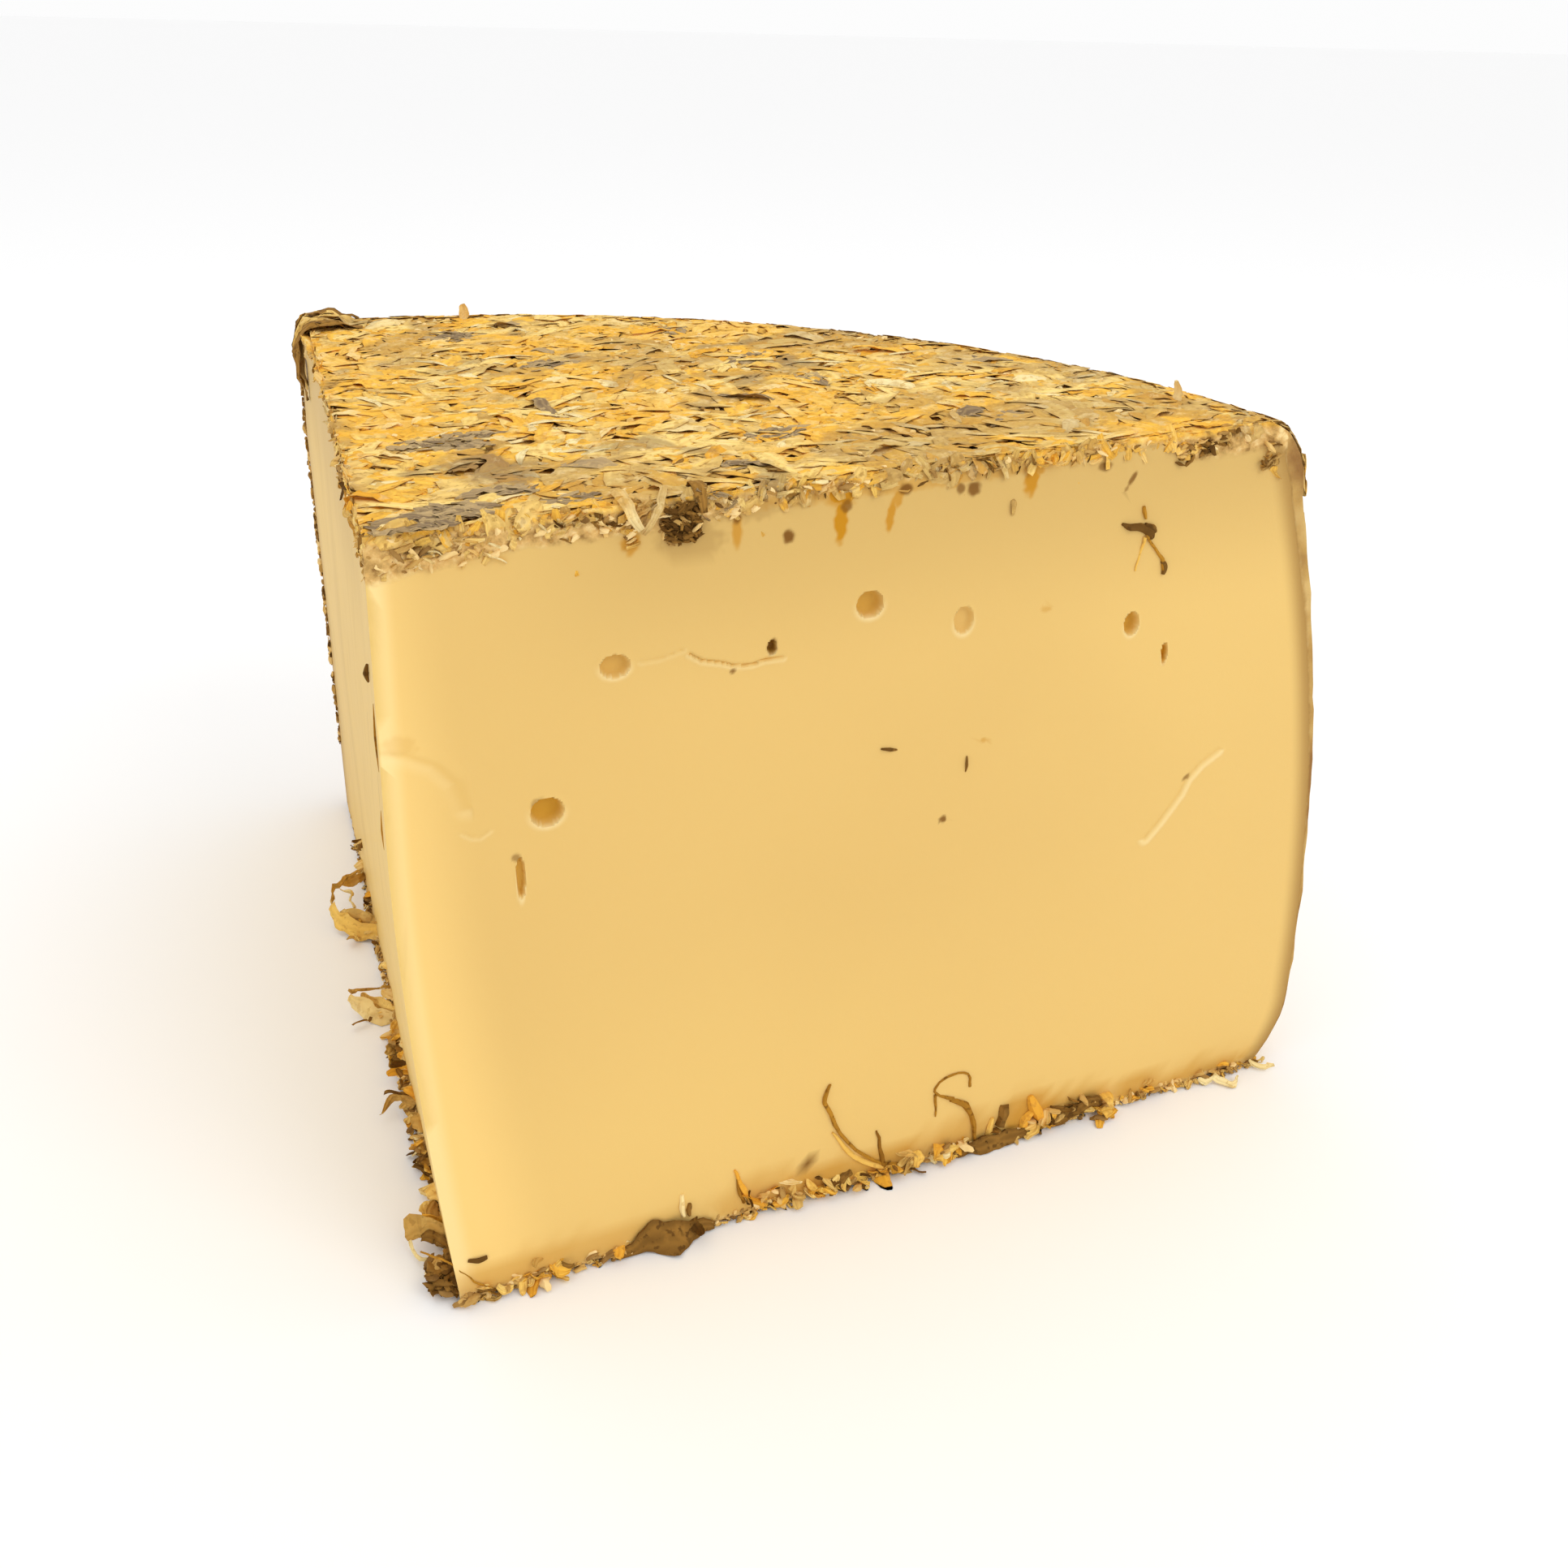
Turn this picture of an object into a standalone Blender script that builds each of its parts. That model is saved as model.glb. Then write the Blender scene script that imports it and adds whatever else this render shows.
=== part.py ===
# A quarter wheel of tomme cheese whose rind is packed with dried flower petals.
# The two cut faces meet at the old centre of the wheel, here called the tip.
# X runs from the tip along the front cut face, Y into the cheese, Z up.
# The origin lies on the flat underside, ORIGIN_FROM_TIP away from the tip.

import math
import random

import bpy
import bmesh
from mathutils import Matrix, Vector, noise

MM = 0.001

# The wheel that the quarter was cut from.
TIP_HEIGHT = 100 * MM
FRONT_RISE = 4.6 * MM
LEFT_RISE = 1.4 * MM
BELLY_RADIUS = 133.3 * MM
BELLY_HEIGHT = 17 * MM
WALL_LEAN = 11.0 * MM
SHOULDER_DEPTH = 8.5 * MM
SHOULDER_DROP = 11.0 * MM
FOOT_INSET = 5.3 * MM
FOOT_HEIGHT = 12 * MM
SECTOR_ANGLE = math.radians(88.5)
ORIGIN_FROM_TIP = Vector((54 * MM, 52 * MM, 0))

# How far the cut faces stray from plane.
TIP_FOOT_OUT = Vector((4.7 * MM, -5.3 * MM, 0))
TIP_BEND_HEIGHT = 62 * MM
FAR_EDGE_BOW = 1.8 * MM
BOW_HEIGHT = 80 * MM

# The petal mat on the rind, and the crumbly band where the knife went through it.
MAT_RELIEF = 0.9 * MM
MAT_GRAIN = 5.5 * MM
BAND_DEPTH = 6 * MM
BAND_RELIEF = 0.7 * MM
WALL_RELIEF = 0.25 * MM

# Mesh steps.
EDGE_STEPS = 22
WALL_STEPS = 6
SHOULDER_STEPS = 3
FOOT_STEPS = 2

# Petals, stems and flakes.
PETAL_THICK = 0.8 * MM
STEM_THICK = 1.1 * MM
ROOT_DEPTH = 1.6 * MM
FLOOR_GAP = 0.5 * MM
SEED = 31

FRONT_FOOT_PETALS = 13
LEFT_FOOT_PETALS = 11
RIM_FOOT_PETALS = 11

# Left foot curls: distance from the tip, height, length, width in mm, turn in radians.
LEFT_FOOT_CURLS = (
    (93, 4, 16, 5.0, -3.4),
    (60, 3, 12, 4.2, -2.6),
    (46, 5, 13, 3.6, -2.2),
    (24, 3, 10, 4.0, -2.0),
    (8, 5, 11, 3.4, -2.8),
)
# Broad flat petals under the front edge: distance from the tip, length, width.
FRONT_FOOT_FLATS = ((32, 6, 12), (83, 5, 10), (103, 5, 6))
# Curls over the front edge of the top: distance from the tip, length, width, turn.
EDGE_CURLS = ((28, 12, 3, 2.2), (33, 13, 2.6, 2.5), (37, 10, 4, 2.0), (111, 8, 4, 1.6))
# The dark flap that hangs over the far end of the left face.
CORNER_FLAP_ALONG = 112 * MM
CORNER_FLAP_TURN = -1.9
# Spiky tufts near the rim: share of the top's radius, part of the sector angle.
FAR_TUFTS = ((0.98, 0.85), (0.97, 0.08))

# Eyes in the front face: along it from the tip, height, width, tallness, depth.
EYES = {
    "wide_eye": (26.4, 81.7, 4.7, 4.0, 1.5),
    "middle_eye": (58.7, 85.7, 4.0, 4.0, 1.9),
    "tall_eye": (71.7, 82.0, 3.6, 4.5, 1.7),
    "rim_eye": (96.6, 78.5, 2.5, 3.6, 1.6),
    "tip_eye": (18.2, 65.2, 4.3, 3.9, 2.0),
    "tip_slit": (14.6, 57.3, 1.3, 5.8, 1.3),
    "crack_eye": (46.0, 81.8, 1.6, 2.6, 1.2),
}


def clear_scene():
    for thing in list(bpy.data.objects):
        bpy.data.objects.remove(thing, do_unlink=True)


def plain_material(name, colour, roughness):
    material = bpy.data.materials.new(name)
    material.use_nodes = True
    shader = material.node_tree.nodes["Principled BSDF"]
    shader.inputs["Base Color"].default_value = (*colour, 1)
    shader.inputs["Roughness"].default_value = roughness
    shader.inputs["Metallic"].default_value = 0
    return material


def smooth_step(value):
    value = min(max(value, 0), 1)
    return value * value * (3 - 2 * value)


def rim_rise(angle):
    """How much higher than the tip the top is at the rim."""
    return FRONT_RISE + (LEFT_RISE - FRONT_RISE) * angle / SECTOR_ANGLE


def top_height(share, angle):
    """Height of the dished top, share 0 at the tip and 1 at the rim."""
    return TIP_HEIGHT + rim_rise(angle) * share


def rim_profile(angle):
    """Radius and height of the barrel-shaped rim, from the foot up to the flat of the top."""
    crown = top_height(1, angle)
    shoulder_foot = crown - SHOULDER_DROP
    profile = []
    for step in range(FOOT_STEPS):
        part = step / FOOT_STEPS
        inset = FOOT_INSET * (1 - part) ** 1.8
        profile.append((BELLY_RADIUS - inset, FOOT_HEIGHT * part))
    for step in range(WALL_STEPS + 1):
        height = FOOT_HEIGHT + (shoulder_foot - FOOT_HEIGHT) * step / WALL_STEPS
        above = max(height - BELLY_HEIGHT, 0) / (shoulder_foot - BELLY_HEIGHT)
        profile.append((BELLY_RADIUS - WALL_LEAN * above ** 2, height))
    wall_top = BELLY_RADIUS - WALL_LEAN
    for step in range(1, SHOULDER_STEPS + 1):
        turn = math.pi / 2 * step / SHOULDER_STEPS
        radius = wall_top - SHOULDER_DEPTH * (1 - math.cos(turn))
        profile.append((radius, shoulder_foot + SHOULDER_DROP * math.sin(turn)))
    return profile


def tip_shift(height):
    """The tip edge leans out towards the foot."""
    low = max(1 - height / TIP_BEND_HEIGHT, 0)
    down = 1 - min(height / TIP_HEIGHT, 1)
    return Vector((TIP_FOOT_OUT.x * low ** 1.6, TIP_FOOT_OUT.y * down, 0))


def far_bow(height):
    """The far end of the left face bulges a little."""
    part = min(height / BOW_HEIGHT, 1)
    return FAR_EDGE_BOW * part ** 1.3


def body_point(share, angle, level):
    """A point of the wedge's side, share 0 at the tip and 1 at the rim, level by profile step."""
    radius, height = rim_profile(angle)[level]
    crown = top_height(1, angle)
    own_height = height / crown * top_height(share, angle)
    direction = Vector((math.cos(angle), math.sin(angle), 0))
    point = direction * radius * share + tip_shift(own_height) * (1 - share)
    leftness = smooth_step((angle / SECTOR_ANGLE - 0.85) / 0.15)
    outward_left = Vector((-math.sin(SECTOR_ANGLE), math.cos(SECTOR_ANGLE), 0))
    point += outward_left * far_bow(own_height) * leftness * share ** 3
    point.z = own_height
    return point


def outline_places():
    """Share and angle of each point round the wedge: front face, rim, left face."""
    places = []
    for step in range(EDGE_STEPS):
        places.append((step / EDGE_STEPS, 0))
    for step in range(2 * EDGE_STEPS):
        places.append((1, SECTOR_ANGLE * step / (2 * EDGE_STEPS)))
    for step in range(EDGE_STEPS):
        places.append((1 - step / EDGE_STEPS, SECTOR_ANGLE))
    return places


def relief(point, size, grain):
    """Uneven bumps, the same on every run."""
    coarse = noise.noise(point / grain)
    fine = noise.noise(point / grain * 2.3 + Vector((7, 3, 5)))
    return size * (coarse + 0.6 * fine)


def side_relief(point, share, angle, level):
    """Bumps on the rind of the rim, and crumbs where the cut faces meet the top."""
    if 0 < share < 1:
        below_top = top_height(share, angle) - point.z
        crumbly = 1 - smooth_step(below_top / BAND_DEPTH)
        normal = Vector((math.sin(angle), -math.cos(angle), 0))
        if angle > 0:
            normal = -normal
        return normal * relief(point, BAND_RELIEF * crumbly, MAT_GRAIN * 0.6)
    if share == 1 and level > 0:
        outward = Vector((math.cos(angle), math.sin(angle), 0))
        return outward * relief(point, WALL_RELIEF, MAT_GRAIN)
    return Vector((0, 0, 0))


def grid_place(across, along):
    """Share and angle of a point of the top, from a square grid bent into the sector."""
    share = max(across, along)
    if share == 0:
        return 0, 0
    if along <= across:
        return share, SECTOR_ANGLE / 2 * along / across
    return share, SECTOR_ANGLE * (1 - across / along / 2)


def top_point(across, along):
    share, angle = grid_place(across, along)
    top_level = len(rim_profile(angle)) - 1
    point = body_point(share, angle, top_level)
    edge_fade = smooth_step((1 - share) / 0.06)
    point.z += relief(point, MAT_RELIEF, MAT_GRAIN) * (0.35 + 0.65 * edge_fade)
    return point


def outline_index(column, row):
    """Which outline point a border point of the top grid is."""
    if row == 0:
        return column
    if column == EDGE_STEPS:
        return EDGE_STEPS + row
    if row == EDGE_STEPS:
        return 3 * EDGE_STEPS - column
    return 4 * EDGE_STEPS - row


def wedge_mesh():
    """The wedge itself: side walls, petal-covered top and flat underside."""
    mesh = bmesh.new()
    places = outline_places()
    count = len(places)
    level_count = len(rim_profile(0))
    rings = []
    for level in range(level_count):
        ring = []
        for share, angle in places:
            point = body_point(share, angle, level)
            point += side_relief(point, share, angle, level)
            ring.append(mesh.verts.new(point))
        rings.append(ring)
    for lower, upper in zip(rings, rings[1:]):
        for index in range(count):
            after = (index + 1) % count
            mesh.faces.new((lower[index], lower[after], upper[after], upper[index]))
    mesh.faces.new(reversed(rings[0]))
    grid = {}
    for column in range(EDGE_STEPS + 1):
        for row in range(EDGE_STEPS + 1):
            border = column in (0, EDGE_STEPS) or row in (0, EDGE_STEPS)
            if border:
                grid[column, row] = rings[-1][outline_index(column, row) % count]
            else:
                grid[column, row] = mesh.verts.new(top_point(column / EDGE_STEPS, row / EDGE_STEPS))
    for column in range(EDGE_STEPS):
        for row in range(EDGE_STEPS):
            corners = ((column, row), (column + 1, row), (column + 1, row + 1), (column, row + 1))
            mesh.faces.new([grid[corner] for corner in corners])
    bmesh.ops.triangulate(mesh, faces=mesh.faces[:])
    bmesh.ops.recalc_face_normals(mesh, faces=mesh.faces[:])
    return mesh


def new_object(name, mesh, collection, material):
    data = bpy.data.meshes.new(name)
    mesh.to_mesh(data)
    mesh.free()
    data.materials.append(material)
    thing = bpy.data.objects.new(name, data)
    collection.objects.link(thing)
    return thing


def ribbon_mesh(path, across, width, thick):
    """A thin wavy strip along a path, pointed at both ends, both faces split alike."""
    mesh = bmesh.new()
    last = len(path) - 1
    sections = []
    for step, centre in enumerate(path):
        ahead = path[min(step + 1, last)] - path[max(step - 1, 0)]
        side = (across - ahead.normalized() * across.dot(ahead.normalized())).normalized()
        normal = ahead.cross(side).normalized()
        fullness = 0.35 + 0.65 * math.sin(math.pi * step / last)
        half_width = side * width * fullness / 2
        half_thick = normal * thick / 2
        corners = (half_width + half_thick, half_thick - half_width,
                   -half_width - half_thick, half_width - half_thick)
        sections.append([mesh.verts.new(centre + corner) for corner in corners])
    for before, after in zip(sections, sections[1:]):
        for side in range(4):
            following = (side + 1) % 4
            mesh.faces.new((before[side], before[following], after[following]))
            mesh.faces.new((before[side], after[following], after[side]))
    mesh.faces.new(reversed(sections[0]))
    mesh.faces.new(sections[-1])
    bmesh.ops.triangulate(mesh, faces=mesh.faces[:])
    bmesh.ops.recalc_face_normals(mesh, faces=mesh.faces[:])
    return mesh


def curl_path(start, heading, across, length, turn, steps=4):
    """A path that leaves along heading and turns about the across direction as it goes."""
    path = [start.copy()]
    direction = heading.normalized()
    bend = Matrix.Rotation(turn / steps, 3, across)
    for _ in range(steps):
        path.append(path[-1] + direction * length / steps)
        direction = bend @ direction
    for point in path:
        point.z = max(point.z, FLOOR_GAP + PETAL_THICK)
    return path


def front_surface(along, height):
    """A point of the front cut face, from sizes measured along it and up."""
    share = along / (BELLY_RADIUS - WALL_LEAN * (height / TIP_HEIGHT) ** 2)
    point = tip_shift(height) * (1 - share)
    return Vector((along, point.y, height))


def left_surface(along, height):
    """A point of the left cut face."""
    share = along / BELLY_RADIUS
    direction = Vector((math.cos(SECTOR_ANGLE), math.sin(SECTOR_ANGLE), 0))
    point = direction * along + tip_shift(height) * (1 - share)
    point.z = height
    return point


def rim_surface(angle, level):
    return body_point(1, angle, level)


FRONT_OUT = Vector((0, -1, 0))
LEFT_OUT = Vector((-math.sin(SECTOR_ANGLE), math.cos(SECTOR_ANGLE), 0))


def add_petal(collection, material, start, heading, across, length, width, turn, thick=PETAL_THICK):
    path = curl_path(start, heading, across, length, turn)
    mesh = ribbon_mesh(path, across, width, thick)
    new_object("petal_bit", mesh, collection, material)


def foot_petals(collection, material, draw):
    """Petals squeezed out from under the cheese, along both cut faces and the rim."""
    for step in range(FRONT_FOOT_PETALS):
        along = (9 + step * 9.2 + draw.uniform(-2.5, 2.5)) * MM
        start = front_surface(along, draw.uniform(1.4, 3.5) * MM) - FRONT_OUT * ROOT_DEPTH
        heading = FRONT_OUT * draw.uniform(0.5, 1) + Vector((draw.uniform(-1, 1), 0, draw.uniform(0, 0.2)))
        across = Vector((heading.y, -heading.x, 0)).normalized()
        add_petal(collection, material, start, heading, across, draw.uniform(5, 8.5) * MM,
                  draw.uniform(2.2, 3.6) * MM, draw.uniform(-0.5, 0.3))
    for step in range(LEFT_FOOT_PETALS):
        along = (6 + step * 10.4 + draw.uniform(-2.5, 2.5)) * MM
        start = left_surface(along, draw.uniform(1.6, 5) * MM) - LEFT_OUT * ROOT_DEPTH
        heading = LEFT_OUT + Vector((0, draw.uniform(-0.9, 0.9), draw.uniform(0.1, 0.7)))
        across = Vector((heading.y, -heading.x, 0)).normalized()
        add_petal(collection, material, start, heading, across, draw.uniform(5, 8) * MM,
                  draw.uniform(2.4, 4.2) * MM, draw.uniform(-1.2, 0.8))
    for step in range(RIM_FOOT_PETALS):
        angle = SECTOR_ANGLE * (step + 0.5) / RIM_FOOT_PETALS
        outward = Vector((math.cos(angle), math.sin(angle), 0))
        start = rim_surface(angle, 1) - outward * ROOT_DEPTH
        heading = outward + Vector((draw.uniform(-0.6, 0.6), draw.uniform(-0.6, 0.6), -0.1))
        across = Vector((heading.y, -heading.x, 0)).normalized()
        add_petal(collection, material, start, heading, across, draw.uniform(4, 6) * MM,
                  draw.uniform(2.2, 3.4) * MM, draw.uniform(-0.4, 0.4))


def big_curls(collection, material):
    """The large petals that show one by one: curls at the left foot, flat ones at the front foot,
    and those that hang over the edges of the top."""
    up = Vector((0, 0, 1))
    left_along = Vector((0, 1, 0))
    front_along = Vector((1, 0, 0))
    for along, height, length, width, turn in LEFT_FOOT_CURLS:
        start = left_surface(along * MM, height * MM) - LEFT_OUT * ROOT_DEPTH
        heading = LEFT_OUT * 0.6 + up * 0.8
        add_petal(collection, material, start, heading, left_along, length * MM, width * MM, turn)
    for along, length, width in FRONT_FOOT_FLATS:
        start = front_surface(along * MM, 2 * MM) - FRONT_OUT * ROOT_DEPTH
        add_petal(collection, material, start, FRONT_OUT, front_along, length * MM, width * MM, 0)
    for along, length, width, turn in EDGE_CURLS:
        height = top_height(along * MM / BELLY_RADIUS, 0)
        start = front_surface(along * MM, height) - FRONT_OUT * 4 * MM
        heading = FRONT_OUT + up * 0.55
        add_petal(collection, material, start, heading, front_along, length * MM, width * MM, turn)
    corner = left_surface(CORNER_FLAP_ALONG, top_height(0.9, SECTOR_ANGLE) - MM) - LEFT_OUT * 9 * MM
    heading = LEFT_OUT + up * 0.35
    add_petal(collection, material, corner, heading, left_along, 20 * MM, 9 * MM, CORNER_FLAP_TURN)
    for share, angle_part in FAR_TUFTS:
        angle = SECTOR_ANGLE * angle_part
        radius = (BELLY_RADIUS - WALL_LEAN - SHOULDER_DEPTH) * share
        outward = Vector((math.cos(angle), math.sin(angle), 0))
        start = outward * radius + up * (top_height(share, angle) - 0.6 * MM)
        across = outward.cross(up)
        add_petal(collection, material, start, outward * 0.5 + up, across, 5 * MM, 2.2 * MM, 1.2)


def top_petals(collection, material, draw):
    """Petals that stand proud of the mat, spread evenly over the top."""
    rows = 6
    for row in range(rows):
        share = (row + 0.6) / rows
        in_row = 2 + 2 * row
        for step in range(in_row):
            angle = SECTOR_ANGLE * (step + draw.uniform(0.25, 0.75)) / in_row
            radius = (BELLY_RADIUS - WALL_LEAN - SHOULDER_DEPTH) * share
            start = Vector((math.cos(angle), math.sin(angle), 0)) * radius
            start.z = top_height(share, angle) - 0.2 * MM
            way = draw.uniform(0, 2 * math.pi)
            heading = Vector((math.cos(way), math.sin(way), 0.30))
            across = Vector((-math.sin(way), math.cos(way), 0))
            add_petal(collection, material, start, heading, across, draw.uniform(6, 10) * MM,
                      draw.uniform(2.4, 4.0) * MM, draw.uniform(0.5, 1.0))


def dragged_petals(collection, material, draw):
    """Petals that the knife drew down over the top of the cut faces."""
    for step in range(12):
        along = (12 + step * 8.3 + draw.uniform(-2, 2)) * MM
        height = top_height(along / BELLY_RADIUS, 0) - draw.uniform(1.5, 3) * MM
        start = front_surface(along, height) + FRONT_OUT * 0.1 * MM
        heading = Vector((draw.uniform(-0.35, 0.35), -0.05, -1))
        add_petal(collection, material, start, heading, Vector((1, 0, 0)),
                  draw.uniform(3.5, 6) * MM, draw.uniform(1.6, 2.6) * MM, draw.uniform(-0.1, 0.1))
    for step in range(9):
        along = (14 + step * 11 + draw.uniform(-2, 2)) * MM
        height = top_height(along / BELLY_RADIUS, SECTOR_ANGLE) - draw.uniform(1.5, 3) * MM
        start = left_surface(along, height) + LEFT_OUT * 0.1 * MM
        heading = LEFT_OUT * 0.05 + Vector((0, draw.uniform(-0.35, 0.35), -1))
        add_petal(collection, material, start, heading, Vector((0, 1, 0)),
                  draw.uniform(3.5, 6) * MM, draw.uniform(1.6, 2.6) * MM, 0)


def stem_path(start, middle, end, steps=5):
    """A bent stalk lying on the front face, from three places on that face in millimetres."""
    path = []
    for step in range(steps + 1):
        part = step / steps
        weights = ((1 - part) ** 2, 2 * part * (1 - part), part ** 2)
        along = sum(weight * place[0] for weight, place in zip(weights, (start, middle, end)))
        height = sum(weight * place[1] for weight, place in zip(weights, (start, middle, end)))
        path.append(front_surface(along * MM, height * MM) + FRONT_OUT * 0.15 * MM)
    return path


def face_stems(collection, material):
    """Brown stalks on the front face: three by the foot and a twig under the rim shoulder."""
    for start, middle, end in (
            ((66.4, 1.6), (55, 4), (54.6, 17.3)), ((78, 2.2), (75, 8), (71.4, 12.8)),
            ((77.5, 11.2), (75.5, 16), (71.4, 12)), ((92.5, 94), (96, 92.5), (98.5, 90.2)),
            ((98.5, 90.6), (101, 88), (100.9, 85.4)), ((41.2, 8.2), (44, 5), (45.2, 1.6))):
        mesh = ribbon_mesh(stem_path(start, middle, end), FRONT_OUT, STEM_THICK, STEM_THICK)
        new_object("stem_bit", mesh, collection, material)


def eye_cutter(along, height, wide, tall, deep):
    """An egg-shaped cutter that sinks an eye into the front face."""
    mesh = bmesh.new()
    bmesh.ops.create_icosphere(mesh, subdivisions=2, radius=1)
    centre = front_surface(along, height) + FRONT_OUT * deep * 0.35
    bmesh.ops.scale(mesh, vec=(wide / 2, deep * 1.35, tall / 2), verts=mesh.verts[:])
    bmesh.ops.translate(mesh, vec=centre, verts=mesh.verts[:])
    return mesh


def apply_boolean(target, collection, operation):
    """Join a whole collection to the target, or cut it away, then drop the collection's objects."""
    modifier = target.modifiers.new(operation.lower(), "BOOLEAN")
    modifier.operand_type = "COLLECTION"
    modifier.collection = collection
    modifier.operation = operation
    modifier.solver = "MANIFOLD"
    bpy.context.view_layer.update()
    graph = bpy.context.evaluated_depsgraph_get()
    result = bpy.data.meshes.new_from_object(target.evaluated_get(graph), depsgraph=graph)
    target.modifiers.clear()
    target.data = result
    for thing in list(collection.objects):
        bpy.data.objects.remove(thing, do_unlink=True)
    bpy.data.collections.remove(collection)


def guide_collection(name):
    collection = bpy.data.collections.new(name)
    bpy.context.scene.collection.children.link(collection)
    return collection


def island_of(first):
    """Every vertex joined to the first one by edges."""
    found = {first}
    waiting = [first]
    while waiting:
        vertex = waiting.pop()
        for edge in vertex.link_edges:
            other = edge.other_vert(vertex)
            if other not in found:
                found.add(other)
                waiting.append(other)
    return found


def keep_largest_shell(thing):
    """Drop loose scraps and sealed hollows that fusing leaves."""
    mesh = bmesh.new()
    mesh.from_mesh(thing.data)
    left = set(mesh.verts)
    shells = []
    while left:
        shell = island_of(next(iter(left)))
        shells.append(shell)
        left -= shell
    largest = max(shells, key=len)
    scraps = [vertex for vertex in mesh.verts if vertex not in largest]
    bmesh.ops.delete(mesh, geom=scraps, context="VERTS")
    mesh.to_mesh(thing.data)
    mesh.free()


def build_cheese():
    paste = plain_material("pale_paste", (0.86, 0.62, 0.26), 0.55)
    rind = plain_material("petal_rind", (0.45, 0.25, 0.09), 0.8)
    main = bpy.context.scene.collection
    wedge = new_object("cheese_wedge", wedge_mesh(), main, paste)
    wedge.data.materials.append(rind)
    draw = random.Random(SEED)
    bits = guide_collection("petal_bits")
    foot_petals(bits, rind, draw)
    big_curls(bits, rind)
    top_petals(bits, rind, draw)
    dragged_petals(bits, rind, draw)
    face_stems(bits, rind)
    apply_boolean(wedge, bits, "UNION")
    cutters = guide_collection("eye_cutters")
    for name, sizes in EYES.items():
        mesh = eye_cutter(*[size * MM for size in sizes])
        new_object(name, mesh, cutters, paste)
    apply_boolean(wedge, cutters, "DIFFERENCE")
    keep_largest_shell(wedge)
    wedge.data.transform(Matrix.Translation(-ORIGIN_FROM_TIP))
    wedge.data.shade_smooth()
    wedge.data.set_sharp_from_angle(angle=math.radians(35))


clear_scene()
build_cheese()
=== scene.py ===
import math
import random

import bpy
import bmesh
from mathutils import Matrix, Vector, noise
from mathutils.bvhtree import BVHTree


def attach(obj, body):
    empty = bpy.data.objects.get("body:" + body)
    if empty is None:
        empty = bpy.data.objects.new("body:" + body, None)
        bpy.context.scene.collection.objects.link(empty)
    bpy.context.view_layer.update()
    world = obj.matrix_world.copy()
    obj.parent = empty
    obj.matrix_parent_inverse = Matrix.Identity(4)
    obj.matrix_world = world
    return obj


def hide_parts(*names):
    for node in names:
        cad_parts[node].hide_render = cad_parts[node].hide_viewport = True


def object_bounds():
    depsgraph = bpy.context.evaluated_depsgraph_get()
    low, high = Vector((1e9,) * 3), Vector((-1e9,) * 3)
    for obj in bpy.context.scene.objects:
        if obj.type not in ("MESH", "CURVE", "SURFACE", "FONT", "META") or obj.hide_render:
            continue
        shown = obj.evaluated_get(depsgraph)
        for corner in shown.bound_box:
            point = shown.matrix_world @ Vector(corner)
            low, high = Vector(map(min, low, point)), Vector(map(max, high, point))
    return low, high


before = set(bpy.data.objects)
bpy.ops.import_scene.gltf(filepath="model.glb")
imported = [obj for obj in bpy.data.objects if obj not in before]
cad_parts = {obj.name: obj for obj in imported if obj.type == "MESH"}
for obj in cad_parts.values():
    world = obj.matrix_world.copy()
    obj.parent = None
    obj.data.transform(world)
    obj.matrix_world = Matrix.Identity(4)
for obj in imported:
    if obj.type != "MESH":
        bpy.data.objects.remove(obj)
cad_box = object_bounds()

MM = 0.001
SEED = 31

# The wheel that the quarter was cut from, as in the solid.
TIP_HEIGHT = 100 * MM
FRONT_RISE = 4.6 * MM
LEFT_RISE = 1.4 * MM
BELLY_RADIUS = 133.3 * MM
BELLY_HEIGHT = 17 * MM
WALL_LEAN = 11.0 * MM
SHOULDER_DEPTH = 8.5 * MM
SHOULDER_DROP = 11.0 * MM
FOOT_INSET = 5.3 * MM
FOOT_HEIGHT = 12 * MM
FOOT_BEND = 1.8
SECTOR_ANGLE = math.radians(88.5)
TIP = Vector((-54 * MM, -52 * MM, 0))
TIP_FOOT_OUT = Vector((4.7 * MM, -5.3 * MM, 0))
TIP_BEND_HEIGHT = 62 * MM
FAR_EDGE_BOW = 1.8 * MM
BOW_HEIGHT = 80 * MM
TOP_RADIUS = BELLY_RADIUS - WALL_LEAN - SHOULDER_DEPTH

# Directions: out of each cut face, along it from the tip, and up.
FRONT_OUT = Vector((0, -1, 0))
LEFT_OUT = Vector((-math.sin(SECTOR_ANGLE), math.cos(SECTOR_ANGLE), 0))
FRONT_ALONG = Vector((1, 0, 0))
LEFT_ALONG = Vector((0, 1, 0))
UP = Vector((0, 0, 1))

# Mesh steps of the body; the normals of its cut faces are below FACE_NORMAL along Y or X.
FRONT_STEPS = 72
LEFT_STEPS = 56
WALL_STEPS = 40
SHOULDER_STEPS = 8
FOOT_STEPS = 6
FINE_PASSES = 3
FACE_NORMAL = -0.7

# Every piece: from which angle its edges are sharp, and how far inside the solid's box it stays.
SHARP_ANGLE = math.radians(50)
BOX_MARGIN = 0.05 * MM

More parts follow.
